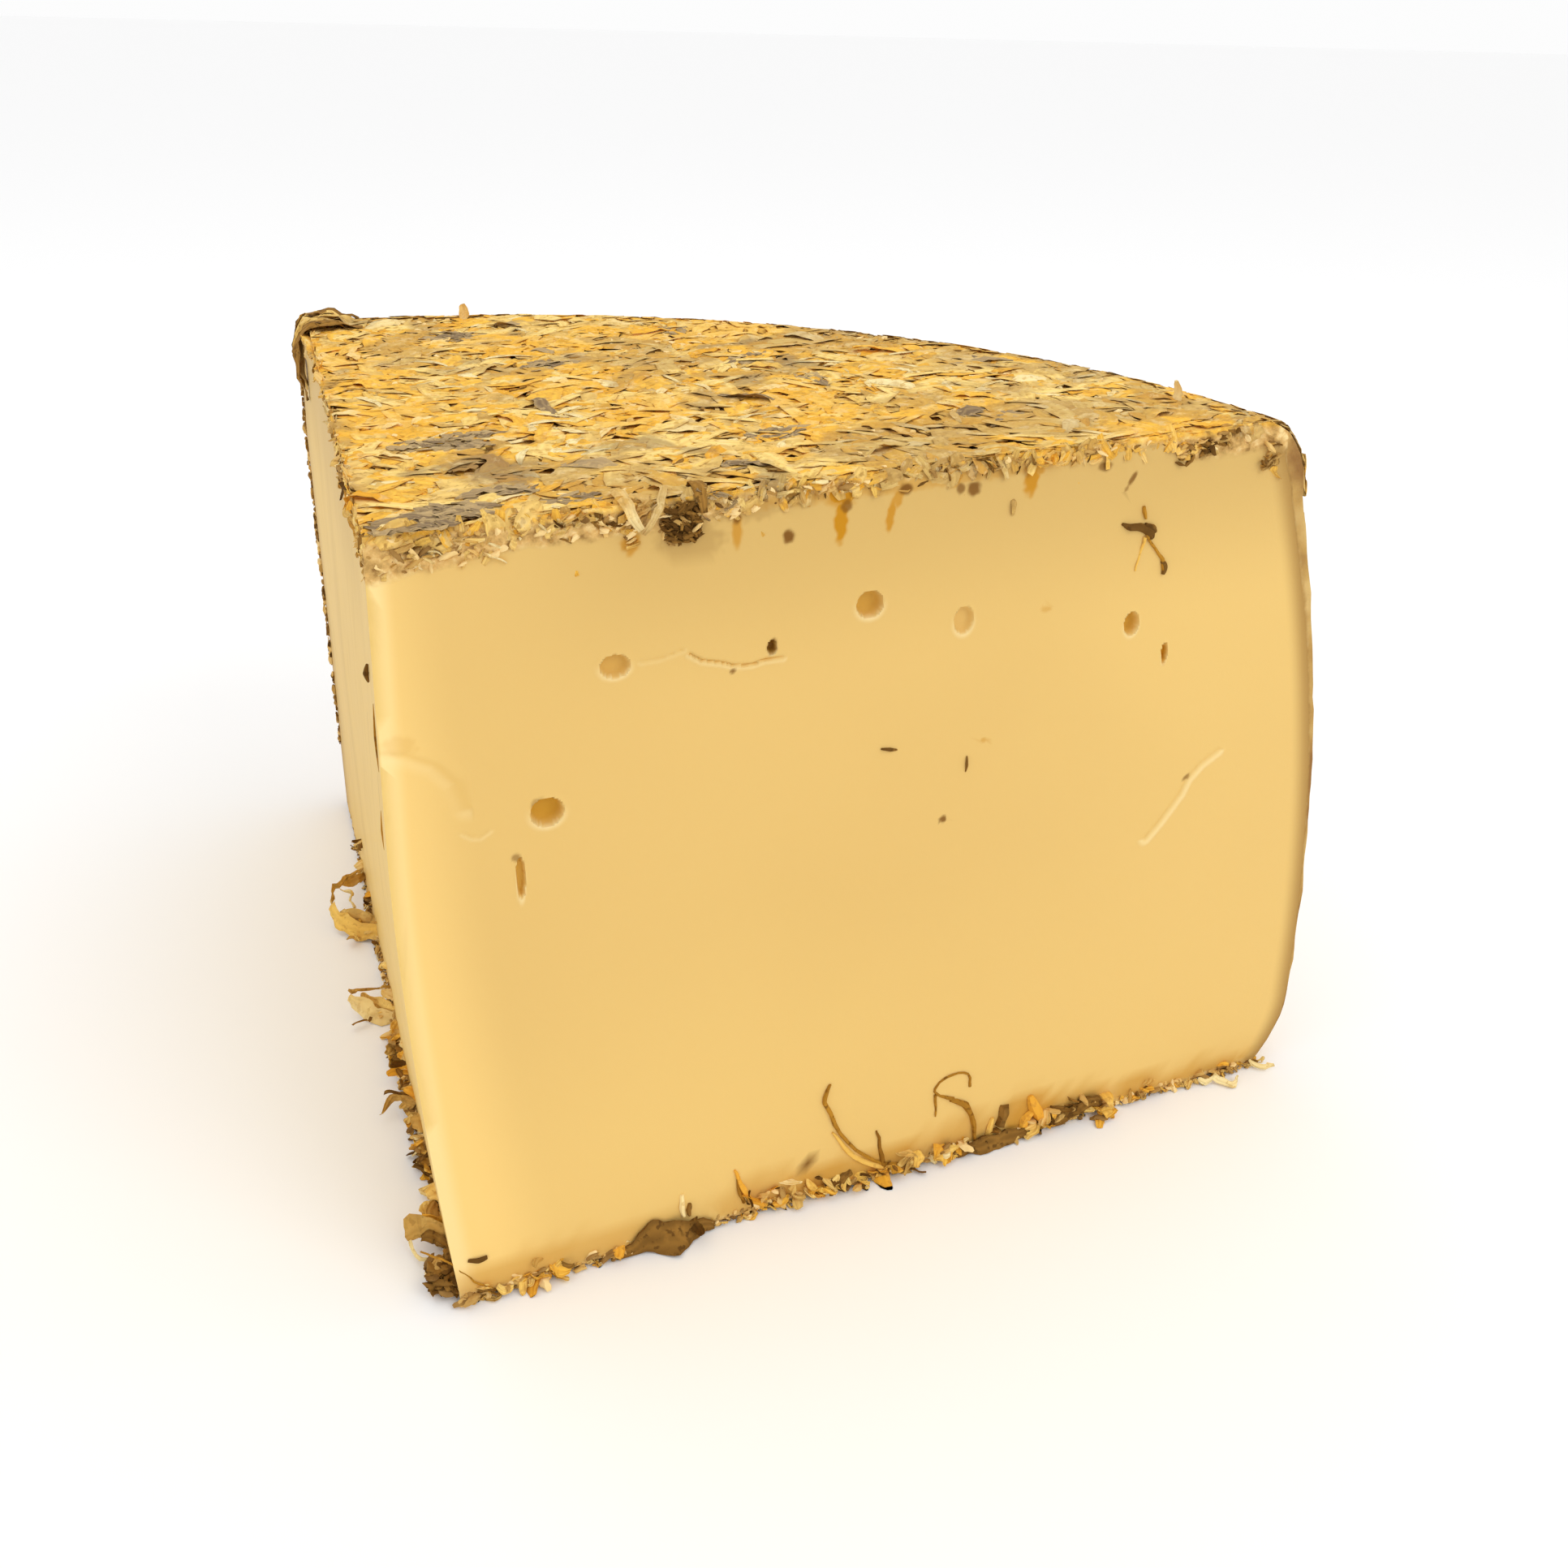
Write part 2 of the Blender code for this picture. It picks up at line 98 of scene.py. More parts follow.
# How far down and up the crumbly strips reach, and how high and how long the bumps are.
CRUMBLY_DROP = 6 * MM
CRUMBLY_FOOT = 2.5 * MM
UNDERSIDE_LIFT = 0.7 * MM
EDGE_BUMP = 0.7 * MM
EDGE_GRAIN = 3.3 * MM
RIM_BUMP = 0.3 * MM
TOP_BUMP = 0.7 * MM
TOP_SINK = 0.5 * MM
RIND_GRAIN = 5.5 * MM
CRUMB_BUMP = 0.45 * MM
CRUMB_GRAIN = 1.1 * MM
WAVE_HEIGHT = 0.35 * MM
WAVE_LENGTHS = (0.03, 0.03, 0.05)

# Eyes in the front face: along it from the tip, height, width, tallness, depth, ochre and painted shade
# inside 0 to 1.
EYES = (
    (26.7, 82.1, 3.9, 3.1, 1.2, 0.4),
    (58.7, 85.7, 3.9, 3.8, 1.6, 0.65),
    (71.7, 82, 3, 4, 0.9, 0.1),
    (96.6, 78.5, 2.4, 3.6, 1.5, 0.8),
    (18.2, 65.2, 4.3, 3.9, 1.8, 0.9),
    (14.8, 57.3, 1.1, 6, 0.9, 0.7),
    (46, 81.8, 1.2, 1.9, 1, 1),
    (102.3, 73.6, 1, 3.2, 0.8, 0.8),
)
# How far an eye reaches, as a share of its size in the solid.
EYE_SHARE = 0.9
# Tears in the paste: places along the face and up, width, depth of the groove, height of the lip.
TEARS = (
    (((29.8, 82.2), (32, 82.3), (34.9, 83)), 0.4, 0.12, 0.06),
    (((35.7, 82.3), (37.2, 81.3), (39.6, 80.7), (41.2, 80.1), (43.4, 79.9), (45.2, 80.3), (47.4, 80.2)),
     0.4, 0.35, 0.13),
    (((113.3, 57.2), (110.6, 55.6), (108.6, 53.6), (107.6, 51.4), (104.6, 47.6), (102.5, 45.4)),
     0.8, 0.12, 0.2),
    (((8.6, 64.2), (9.6, 63.5), (10.4, 63.4), (11.4, 64)), 0.4, 0.08, 0.1),
)
# The step that the knife left beside the tip edge, with a painted shadow above it, painted shade along it
# and a painted highlight below it; its height and reach are in mm too.
KNIFE_STEP = ((-1, 75.8), (3, 74.8), (6, 73.2), (8.2, 70.6), (9.2, 67.4))
KNIFE_STEP_HEIGHT = 0.30
KNIFE_STEP_REACH = 2.2

# The petals fused to the solid, and the finer bits that are only here. Edge curls: along, length,
# width in mm, turn. Tufts: share of the way to the rim, and of the angle.
ROOT_DEPTH = 1.6 * MM
FLOOR_GAP = 0.5 * MM
PETAL_THICK = 0.8 * MM
FRONT_FOOT_PETALS = 13
LEFT_FOOT_PETALS = 11
RIM_FOOT_PETALS = 11
TOP_PETAL_ROWS = 6
EDGE_CURLS = ((28, 12, 3, 2.2), (33, 13, 2.6, 2.5), (37, 10, 4, 2.0), (111, 8, 4, 1.6))
CORNER_FLAP_ALONG = 112 * MM
CORNER_FLAP_TURN = -1.9
FAR_TUFTS = ((0.98, 0.85), (0.97, 0.08))
FAR_EDGE_BITS = 200
CRUMB_SHAPES = 6
CRUMPLE_GRAIN = 1.7 * MM
LOWEST_POINT = 0.1 * MM
LOOSE_THICK = 0.3 * MM
TORN_THICK = 0.25 * MM
SHEET_THICK = 0.35 * MM
GREY_THICK = 0.22 * MM
# How far past the planes of the cuts scattered leaves reach, on the top and elsewhere.
TOP_CUT = 0.35 * MM
REST_CUT = -0.8 * MM
# Patches where scattered leaves lie: how fine they are, how soft their edges, and how far apart
# the patches of two kinds are in the noise.
PATCH_SCALE = 75.0
PATCH_EDGE = 0.06
PATCH_SHIFT = 0.37

# Colours of the paste, linear.
# The light strip along the tip edge is a painted highlight.
TIP_EDGE_HIGHLIGHT = (0.93, 0.70, 0.31)
PASTE_MID = (0.80, 0.54, 0.178)
# A deeper paste tone, also used as painted shade up the middle of the front face.
PASTE_DEEP_AND_DIM = (0.735, 0.485, 0.158)
# Golden paste beside the tip edge, widest towards the foot, is painted light.
PASTE_GOLD_LIGHT = (0.93, 0.635, 0.215)
# Ochre paste in the eyes and the grooves of tears, also standing for painted shade there.
HOLLOW_OCHRE_AND_SHADE = (0.64, 0.34, 0.025)
PASTE_SHADE = (0.62, 0.405, 0.13)
FOOT_SHADE = (0.66, 0.40, 0.11)
RIM_SHADE = (0.40, 0.225, 0.06)
# Cream painted highlight on the lower lips of eyes and tears and below the knife step.
LIP_HIGHLIGHT = (1.0, 0.86, 0.50)
# Stain colours, also used for a few marks of painted shade and shadow.
STAIN_ORANGE_AND_SHADOW = (0.54, 0.235, 0.008)
STAIN_BROWN_AND_SHADE = (0.19, 0.072, 0.007)
LEFT_PASTE = (0.78, 0.53, 0.165)
LEFT_GRAIN = (0.60, 0.37, 0.10)
LEFT_LINE = (0.54, 0.31, 0.075)
LEFT_CRACK = (0.40, 0.21, 0.045)
LEFT_FAR = (0.48, 0.28, 0.08)

# Colours of the rind, linear, and of the patches that its petals share.
RIND_TAN = (0.50, 0.30, 0.095)
RIND_BROWN = (0.26, 0.13, 0.035)
RIND_PEACH = (0.70, 0.43, 0.145)
RIND_CREAM = (0.92, 0.68, 0.31)
CRUST_STOPS = ((0.33, RIND_BROWN), (0.42, RIND_TAN), (0.52, RIND_PEACH), (0.66, RIND_CREAM))
MAT_STOPS = (
    (0.30, RIND_BROWN), (0.40, (0.60, 0.36, 0.10)), (0.50, (0.88, 0.48, 0.06)),
    (0.57, (0.92, 0.60, 0.16)), (0.68, RIND_CREAM))
WALL_STOPS = ((0.36, (0.30, 0.15, 0.045)), (0.50, (0.50, 0.30, 0.09)), (0.64, (0.66, 0.45, 0.17)))
CRUMB_STOPS = (
    (0.14, (0.18, 0.09, 0.025)), (0.28, (0.38, 0.21, 0.06)), (0.46, (0.58, 0.35, 0.10)),
    (0.62, (0.73, 0.46, 0.14)), (0.84, RIND_CREAM))
PATCH_GOLD = (0.93, 0.48, 0.05)
PATCH_BROWN = (0.42, 0.25, 0.09)
PATCH_GREY = (0.27, 0.185, 0.10)
# Painted shade in the fine crinkles of the top, and painted highlights between them.
CRINKLE_SHADE = (0.40, 0.21, 0.045)
CRINKLE_HIGHLIGHT = (1.0, 0.80, 0.42)

# Petals: what the material is named after, its dark, light and streak colours, how strong its ribs
# are, and whether the patches of the top tint it.
PETAL_LOOKS = {
    "orange": ("orange_petal", (0.84, 0.40, 0.035), (0.98, 0.56, 0.08), (0.62, 0.28, 0.04), 0.3, True),
    "yellow": ("golden_petal", (0.90, 0.54, 0.10), (1.0, 0.72, 0.24), (0.62, 0.34, 0.07), 0.3, True),
    "straw": ("straw_petal", (0.88, 0.61, 0.22), (1.0, 0.82, 0.42), (0.68, 0.44, 0.14), 0.2, True),
    "tan": ("tan_petal", (0.62, 0.36, 0.09), (0.92, 0.62, 0.19), (0.42, 0.23, 0.055), 0.3, True),
    "grey": ("grey_petal", (0.21, 0.14, 0.08), (0.50, 0.345, 0.165), (0.60, 0.41, 0.18), 0.3, False),
    "stem": ("stem", (0.22, 0.09, 0.012), (0.58, 0.28, 0.03), (0.15, 0.06, 0.008), 0.3, False),
    "brown": ("brown_bit", (0.11, 0.05, 0.010), (0.38, 0.19, 0.038), (0.08, 0.035, 0.008), 0.3, False),
}
SLOTS = {
    "orange": "orange_petal", "yellow": "yellow_petal", "straw": "straw_petal", "tan": "rind",
    "grey": "grey_petal", "brown": "brown_bit", "crumb": "rind", "stem": "brown_bit",
}

# The camera, from the photograph's perspective.
CAMERA_PLACE = Vector((-66.0 * MM, -204.2 * MM, 151.3 * MM))
CAMERA_TURN = math.radians(21.33)
CAMERA_DIP = math.radians(19.36)
CAMERA_ROLL = math.radians(1.42)
CAMERA_LENS = 34.0
CAMERA_SHIFT = -0.150
SENSOR_WIDTH = 36

# The pale floor, the lights and the sky.
FLOOR_RADIUS = 40
FLOOR_COLOUR = (0.97, 0.97, 0.97, 1)
LIGHT_TARGET = Vector((0, 0, 0.05))
SKY_STRENGTH = 0.98


# Shape of the wheel.

def smooth_step(value):
    value = min(max(value, 0), 1)
    return value * value * (3 - 2 * value)


def bearing(angle):
    """The level direction from the tip at an angle from the front face."""
    return Vector((math.cos(angle), math.sin(angle), 0))


def top_height(share, angle):
    """Height of the dished top, share 0 at the tip and 1 at the rim."""
    rise = FRONT_RISE + (LEFT_RISE - FRONT_RISE) * angle / SECTOR_ANGLE
    return TIP_HEIGHT + rise * share


def rim_profile(angle):
    """Radius and height of the barrel-shaped rim, from the foot up to the flat of the top."""
    shoulder_foot = top_height(1, angle) - SHOULDER_DROP
    profile = []
    for step in range(FOOT_STEPS):
        part = step / FOOT_STEPS
        inset = FOOT_INSET * (1 - part) ** FOOT_BEND
        profile.append((BELLY_RADIUS - inset, FOOT_HEIGHT * part))
    for step in range(WALL_STEPS + 1):
        height = FOOT_HEIGHT + (shoulder_foot - FOOT_HEIGHT) * step / WALL_STEPS
        above = max(height - BELLY_HEIGHT, 0) / (shoulder_foot - BELLY_HEIGHT)
        profile.append((BELLY_RADIUS - WALL_LEAN * above ** 2, height))
    wall_top = BELLY_RADIUS - WALL_LEAN
    for step in range(1, SHOULDER_STEPS + 1):
        turn = math.pi / 2 * step / SHOULDER_STEPS
        radius = wall_top - SHOULDER_DEPTH * (1 - math.cos(turn))
        profile.append((radius, shoulder_foot + SHOULDER_DROP * math.sin(turn)))
    return profile


def tip_shift(height):
    """The tip edge leans out towards the foot."""
    low = max(1 - height / TIP_BEND_HEIGHT, 0)
    down = 1 - min(height / TIP_HEIGHT, 1)
    return Vector((TIP_FOOT_OUT.x * low ** 1.6, TIP_FOOT_OUT.y * down, 0))


def far_bow(height):
    """The far end of the left face bulges a little."""
    return FAR_EDGE_BOW * min(height / BOW_HEIGHT, 1) ** 1.3


def ring_point(share, angle, radius, height):
    """A point of the wedge's side, from a place on the rim profile."""
    own_height = height / top_height(1, angle) * top_height(share, angle)
    point = bearing(angle) * radius * share + tip_shift(own_height) * (1 - share)
    leftness = smooth_step((angle / SECTOR_ANGLE - 0.85) / 0.15)
    point += LEFT_OUT * far_bow(own_height) * leftness * share ** 3
    point.z = own_height
    return point


def front_surface(along, height):
    """A point of the front cut face, from sizes measured along it and up."""
    share = along / (BELLY_RADIUS - WALL_LEAN * (height / TIP_HEIGHT) ** 2)
    point = tip_shift(height) * (1 - share)
    return Vector((along, point.y, height))


def left_surface(along, height):
    """A point of the left cut face."""
    share = along / BELLY_RADIUS
    point = bearing(SECTOR_ANGLE) * along + tip_shift(height) * (1 - share)
    point.z = height
    return point


# Each cut face: its surface, the directions out of it and along it, and its angle.
FACES = {
    "front": (front_surface, FRONT_OUT, FRONT_ALONG, 0),
    "left": (left_surface, LEFT_OUT, LEFT_ALONG, SECTOR_ANGLE),
}


def beside(face, along, out, height):
    """A place beside a cut face, given in mm."""
    surface, outward_way = FACES[face][:2]
    return surface(along * MM, height * MM) + outward_way * out * MM


def relief(point, size, grain):
    """Uneven bumps, the same on every run."""
    coarse = noise.noise(point / grain)
    fine = noise.noise(point / grain * 2.3 + Vector((7, 3, 5)))
    return size * (coarse + 0.6 * fine)


# Mesh helpers.

def mesh_data(name, verts, faces, values=None):
    """A mesh with a number per vertex for each name in values."""
    data = bpy.data.meshes.new(name)
    data.from_pydata([tuple(vert) for vert in verts], [], faces)
    store_values(data, values or {})
    return data


def store_values(data, values):
    for label, numbers in values.items():
        data.attributes.new(label, "FLOAT", "POINT").data.foreach_set("value", numbers)


def finished_mesh(name, mesh):
    """The mesh data of an editable mesh, which ends here."""
    data = bpy.data.meshes.new(name)
    mesh.to_mesh(data)
    mesh.free()
    return data


def add_object(name, data):
    """An object at the origin of the scene."""
    thing = bpy.data.objects.new(name, data)
    bpy.context.scene.collection.objects.link(thing)
    return thing


def edit_mesh(thing, change):
    """Change an object's mesh by a function of the editable mesh."""
    mesh = bmesh.new()
    mesh.from_mesh(thing.data)
    change(mesh)
    mesh.to_mesh(thing.data)
    mesh.free()


def search_tree(data):
    return BVHTree.FromPolygons([vert.co.copy() for vert in data.vertices],
                                [tuple(face.vertices) for face in data.polygons])


def settle(thing, material):
    """Finish a piece: its material, smooth shading and body."""
    thing.data.materials.clear()
    thing.data.materials.append(material)
    thing.data.shade_smooth()
    thing.data.set_sharp_from_angle(angle=SHARP_ANGLE)
    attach(thing, "root")


def keep_in_box(thing):
    """Pull stray points back inside the solid's box."""
    low, high = cad_box
    for vert in thing.data.vertices:
        for axis in range(3):
            inside = max(vert.co[axis], low[axis] + BOX_MARGIN)
            vert.co[axis] = min(inside, high[axis] - BOX_MARGIN)


def joined(name, things):
    """One object from several, with their attributes."""
    for other in bpy.context.selected_objects:
        other.select_set(False)
    for thing in things:
        thing.select_set(True)
    bpy.context.view_layer.objects.active = things[0]
    bpy.ops.object.join()
    result = bpy.context.view_layer.objects.active
    result.name = name
    result.data.name = name
    return result


# Node helpers.

def add_node(tree, kind, settings=None, inputs=None):
    """One node of any tree: its settings first, then the values or links of its sockets."""
    node = tree.nodes.new(kind)
    for label, value in (settings or {}).items():
        if label == "stops":
            set_stops(node.color_ramp, value)
        else:
            setattr(node, label, value)
    for label, value in (inputs or {}).items():
        feed(tree, node.inputs[label], value)
    return node


def feed(tree, socket, value):
    """Link a socket to another one, or give it a value."""
    source = value.socket if isinstance(value, Wire) else value
    if isinstance(source, bpy.types.NodeSocket):
        tree.links.new(source, socket)
    else:
        socket.default_value = source


def set_stops(ramp, stops):
    while len(ramp.elements) > 1:
        ramp.elements.remove(ramp.elements[-1])
    for index, (place, colour) in enumerate(stops):
        element = ramp.elements[0] if index == 0 else ramp.elements.new(place)
        element.position = place
        element.color = (*colour, 1)


class Wire:
    """A number socket of a material, so that sums on it become Math nodes."""

    def __init__(self, tree, socket):
        self.tree = tree
        self.socket = socket

    def math(self, operation, first, second=0.0):
        node = add_node(self.tree, "ShaderNodeMath", {"operation": operation}, {0: first, 1: second})
        return Wire(self.tree, node.outputs[0])

    def __add__(self, other):
        return self.math("ADD", self, other)

    def __radd__(self, other):
        return self.math("ADD", other, self)

    def __sub__(self, other):
        return self.math("SUBTRACT", self, other)

    def __rsub__(self, other):
        return self.math("SUBTRACT", other, self)

    def __mul__(self, other):
        return self.math("MULTIPLY", self, other)

    def __rmul__(self, other):
        return self.math("MULTIPLY", other, self)

    def largest(self, other):
        return self.math("MAXIMUM", self, other)

    def smallest(self, other):
        return self.math("MINIMUM", self, other)

    def sine(self):
        return self.math("SINE", self)

    def size(self):
        return self.math("ABSOLUTE", self)

    def ease(self, low, high):
        """0 below low and 1 above high, smooth in between."""
        node = add_node(self.tree, "ShaderNodeMapRange", {"interpolation_type": "SMOOTHSTEP"},
                        {"Value": self, "From Min": low, "From Max": high})
        return Wire(self.tree, node.outputs["Result"])


class Finish:
    """A material in the making."""

    def __init__(self, name):
        self.material = bpy.data.materials.new(name)
        self.material.use_nodes = True
        self.tree = self.material.node_tree
        self.shader = self.tree.nodes["Principled BSDF"]
        self.place = self.node("ShaderNodeTexCoord", {}, {}, "Object")

    def node(self, kind, settings, inputs, output):
        """One output of a new node."""
        return add_node(self.tree, kind, settings, inputs).outputs[output]

    def attribute(self, label):
        return Wire(self.tree, self.node("ShaderNodeAttribute", {"attribute_name": label}, {}, "Fac"))

    def stretched(self, scale, shift=(0, 0, 0)):
        return self.node("ShaderNodeMapping", {}, {
            "Vector": self.place, "Scale": scale, "Location": shift}, "Vector")

    def noise(self, scale, detail=3.0, place=None, distortion=0.0, roughness=0.5):
        return Wire(self.tree, self.node("ShaderNodeTexNoise", {}, {
            "Vector": place or self.place, "Scale": scale, "Detail": detail,
            "Distortion": distortion, "Roughness": roughness}, "Fac"))

    def axis(self, name):
        return Wire(self.tree, self.node("ShaderNodeSeparateXYZ", {}, {"Vector": self.place}, name))

    def blend(self, factor, first, second):
        """A mix of two colours, each a tuple or a socket."""
        inputs = {0: factor}
        for index, colour in ((6, first), (7, second)):
            inputs[index] = (*colour, 1) if isinstance(colour, tuple) else colour
        return self.node("ShaderNodeMix", {"data_type": "RGBA"}, inputs, 2)

    def cover(self, colour, *layers):
        """Layers of colour over a first one, each a weight and a colour."""
        for weight, tint in layers:
            colour = self.blend(weight, colour, tint)
        return colour

    def ramp(self, factor, stops):
        return self.node("ShaderNodeValToRGB", {"stops": stops}, {"Fac": factor}, "Color")

    def bump(self, height, strength, distance):
        return self.node("ShaderNodeBump", {}, {
            "Height": height, "Strength": strength, "Distance": distance}, "Normal")

    def wire(self, **sockets):
        """Link or set sockets of the shader; an underscore stands for a space."""
        for label, value in sockets.items():
            feed(self.tree, self.shader.inputs[label.replace("_", " ")], value)
        return self.material


# Materials. The depths that the attributes give are in mm.

def paste_colour(look, top, rim, foot):
    """Pale paste, deeper in tone here and there and dimmed by painted shade higher up the front face, with
    painted light low beside the tip and a painted highlight along the tip edge.
    """
    edge = look.attribute("beside_tip")
    # Painted shade: darker higher up the front face, less so towards the rim; the cloud adds random deeper
    # tone.
    dim_shade = foot.ease(8.0, 55.0) * (1 - edge.ease(70.0, 110.0) * 0.6)
    cloud = look.noise(18.0, 2.0).ease(0.35, 0.65)
    colour = look.blend((dim_shade * 0.85 + cloud * 0.25).smallest(1.0), PASTE_MID, PASTE_DEEP_AND_DIM)
    colour = look.cover(
        colour,
        # Painted light: golden and brighter beside the tip, reaching further out low down.
        ((1 - (edge + foot * 0.07).ease(4.0, 15.0)) * 0.75, PASTE_GOLD_LIGHT),
        # A painted highlight along the tip edge.
        ((1 - edge.ease(0.8, 3.0)) * 0.8, TIP_EDGE_HIGHLIGHT))
    colour = left_marks(look, colour, rim)
    return look.cover(
        colour,
        ((1 - top.ease(2.0, 26.0)) * edge.ease(6.0, 34.0) * 0.85, PASTE_SHADE),
        ((1 - foot.ease(1.0, 7.0)) * 0.3, FOOT_SHADE),
        ((1 - rim.ease(0.3, 4.0)) * 0.95, RIM_SHADE))


def left_marks(look, colour, rim):
    """The browner left face, with its grain, lines and short cracks."""
    side = look.attribute("left_face")
    grain = look.noise(60.0, 4.0, look.stretched((1.0, 1.0, 0.22)))
    lines = look.noise(300.0, 5.0, look.stretched((1.0, 1.0, 0.20)), distortion=0.7, roughness=0.65)
    cracks = look.noise(420.0, 3.0, look.stretched((1.0, 1.0, 0.14), (0.2, 0.1, 0.0)))
    return look.cover(
        colour,
        (side * 0.9, LEFT_PASTE),
        (side * grain.ease(0.44, 0.74) * 0.3, LEFT_GRAIN),
        (side * lines.ease(0.50, 0.74) * 0.28, LEFT_LINE),
        (side * cracks.ease(0.66, 0.72) * 0.4, LEFT_CRACK),
        (side * (1 - rim.ease(1.5, 16.0)) * 0.5, LEFT_FAR))


def cheese_finish():
    """Smooth pale paste on the cut faces, tan rind wherever the depth attributes run out."""
    look = Finish("cheese_paste_and_rind")
    top, rim, foot = [look.attribute(name) for name in ("below_top", "inside_rim", "above_foot")]
    paste = look.cover(
        paste_colour(look, top, rim, foot),
        # Ochre and painted shade in hollows, painted highlights on lower lips, stains with a few marks of
        # painted shade.
        (look.attribute("hollow_ochre_and_shade"), HOLLOW_OCHRE_AND_SHADE),
        (look.attribute("lip_highlight"), LIP_HIGHLIGHT),
        ((look.attribute("orange_stain_and_shadow") * 1.25).smallest(1.0), STAIN_ORANGE_AND_SHADOW),
        (look.attribute("brown_stain_and_shade"), STAIN_BROWN_AND_SHADE))
    ragged = (look.noise(420.0, 4.0) - 0.5) * 1.6
    top_crust = 1 - (look.attribute("past_band") + ragged).ease(-0.5, 0.6)
    rim_crust = 1 - (rim + ragged * 0.15).ease(0.35, 0.8)
    foot_crust = 1 - (foot + ragged * 0.6).ease(0.7, 1.5)
    crusty = top_crust.largest(rim_crust).largest(foot_crust)
    crumbs = look.noise(480.0, 5.0, roughness=0.6)
    crust = look.cover(
        look.ramp(crumbs, CRUST_STOPS),
        (1 - top.ease(0.2, 1.2), look.ramp(look.noise(150.0, 6.0, roughness=0.7), MAT_STOPS)),
        (rim_crust * top.ease(0.5, 4.0), look.ramp(look.noise(90.0, 5.0), WALL_STOPS)))
    height = look.noise(900.0, 3.0) * 0.10 + look.noise(70.0, 3.0) * 0.35 + crusty * crumbs * 1.6
    return look.wire(
        Base_Color=look.blend(crusty, paste, crust), Roughness=0.5 + crusty * 0.35,
        Subsurface_Weight=0.05, Subsurface_Radius=(1.0, 0.65, 0.3), Subsurface_Scale=0.003,
        Specular_IOR_Level=0.1, Normal=look.bump(height, 0.5, 0.0006))


def rind_patches(look, colour):
    """Broad patches of the top where neighbouring petals are golden, browned or greyed alike, with a fine
    crinkle of painted shade and painted highlight.
    """
    high = look.axis("Z").ease(0.090, 0.097)
    far = look.axis("X").ease(-0.025, 0.055)

    def shifted(x, y):
        return look.stretched((1, 1, 1), (x, y, 0.0))

    gold = look.noise(48.0, 4.0, distortion=0.5)
    brown = look.noise(55.0, 5.0, shifted(0.31, 0.17), distortion=0.5) + far * 0.09
    grey = look.noise(72.0, 4.0, shifted(0.7, 0.4), distortion=0.4)
    crinkle_light_and_shade = look.noise(420.0, 5.0, shifted(0.5, 0.2), roughness=0.65)
    return look.cover(
        colour,
        (gold.ease(0.48, 0.60) * high * 0.5, PATCH_GOLD),
        (brown.ease(0.53, 0.60) * high * 0.5, PATCH_BROWN),
        (grey.ease(0.60, 0.68) * high * 0.55, PATCH_GREY),
        # A fine crinkle of painted shade and painted highlight.
        (crinkle_light_and_shade.ease(0.55, 0.66) * high * 0.4, CRINKLE_SHADE),
        ((1 - crinkle_light_and_shade.ease(0.36, 0.46)) * high * 0.3, CRINKLE_HIGHLIGHT))


def petal_finish(name, dark, light, streak, ribs, patches):
    """A dried petal: ribs along it, a tint of its own, and browned ends."""
    look = Finish(f"dried_{name}")
    spread = look.attribute("spread")
    mottle = look.noise(330.0, 4.0)
    veins = (spread * 7.0 + mottle * 4.0).sine() * 0.5 + 0.5
    pale = look.noise(260.0, 3.0).ease(0.56, 0.66) * 0.45
    ends = (look.attribute("run") - 0.5).size().ease(0.38, 0.5) * 0.25
    edges = spread.size().ease(0.7, 1.0) * 0.15
    blotch = look.noise(520.0, 4.0).ease(0.58, 0.70) * 0.6
    speckle = look.noise(1000.0, 3.0).ease(0.57, 0.66) * 0.7
    tint = (look.attribute("tint") + (mottle - 0.5) * 0.5).ease(0.0, 1.0)
    colour = look.cover(
        look.blend(tint, dark, light),
        (veins * ribs, streak),
        (pale, light),
        (ends.largest(blotch).largest(edges).largest(speckle), streak))
    if patches:
        colour = rind_patches(look, colour)
    return look.wire(
        Base_Color=colour, Roughness=0.75, Specular_IOR_Level=0.04,
        Subsurface_Weight=0.05, Subsurface_Radius=(1.0, 0.6, 0.2), Subsurface_Scale=0.001,
        Normal=look.bump(veins * 0.6 + mottle, 0.6, 0.0003))


def crumb_finish():
    """Crumbs of rind, each with its own tint."""
    look = Finish("rind_crumb")
    mottle = look.noise(600.0, 4.0)
    colour = look.ramp(look.attribute("tint") * 0.75 + mottle * 0.25, CRUMB_STOPS)
    return look.wire(Base_Color=colour, Roughness=0.8, Specular_IOR_Level=0.06,
                     Normal=look.bump(mottle, 0.8, 0.0004))


# The body of the cheese.

def outline_places():
    """Share and angle of each point round the wedge: front face, rim, left face."""
    half = SECTOR_ANGLE / 2
    places = [(step / FRONT_STEPS, 0) for step in range(FRONT_STEPS)]
    places += [(1, half * step / LEFT_STEPS) for step in range(LEFT_STEPS)]
    places += [(1, half * (1 + step / FRONT_STEPS)) for step in range(FRONT_STEPS)]
    places += [(1 - step / LEFT_STEPS, SECTOR_ANGLE) for step in range(LEFT_STEPS)]
    return places


def grid_place(across, along):
    """Share and angle of a point of the top, from a square grid bent into the sector."""
    share = max(across, along)
    if along <= across:
        return share, SECTOR_ANGLE / 2 * along / across
    return share, SECTOR_ANGLE * (1 - across / along / 2)


def outline_index(column, row):
    """Which outline point a border point of the top or bottom grid is."""
    if row == 0:
        return column
    if column == FRONT_STEPS:
        return FRONT_STEPS + row
    if row == LEFT_STEPS:
        return 2 * FRONT_STEPS + LEFT_STEPS - column
    return 2 * FRONT_STEPS + 2 * LEFT_STEPS - row


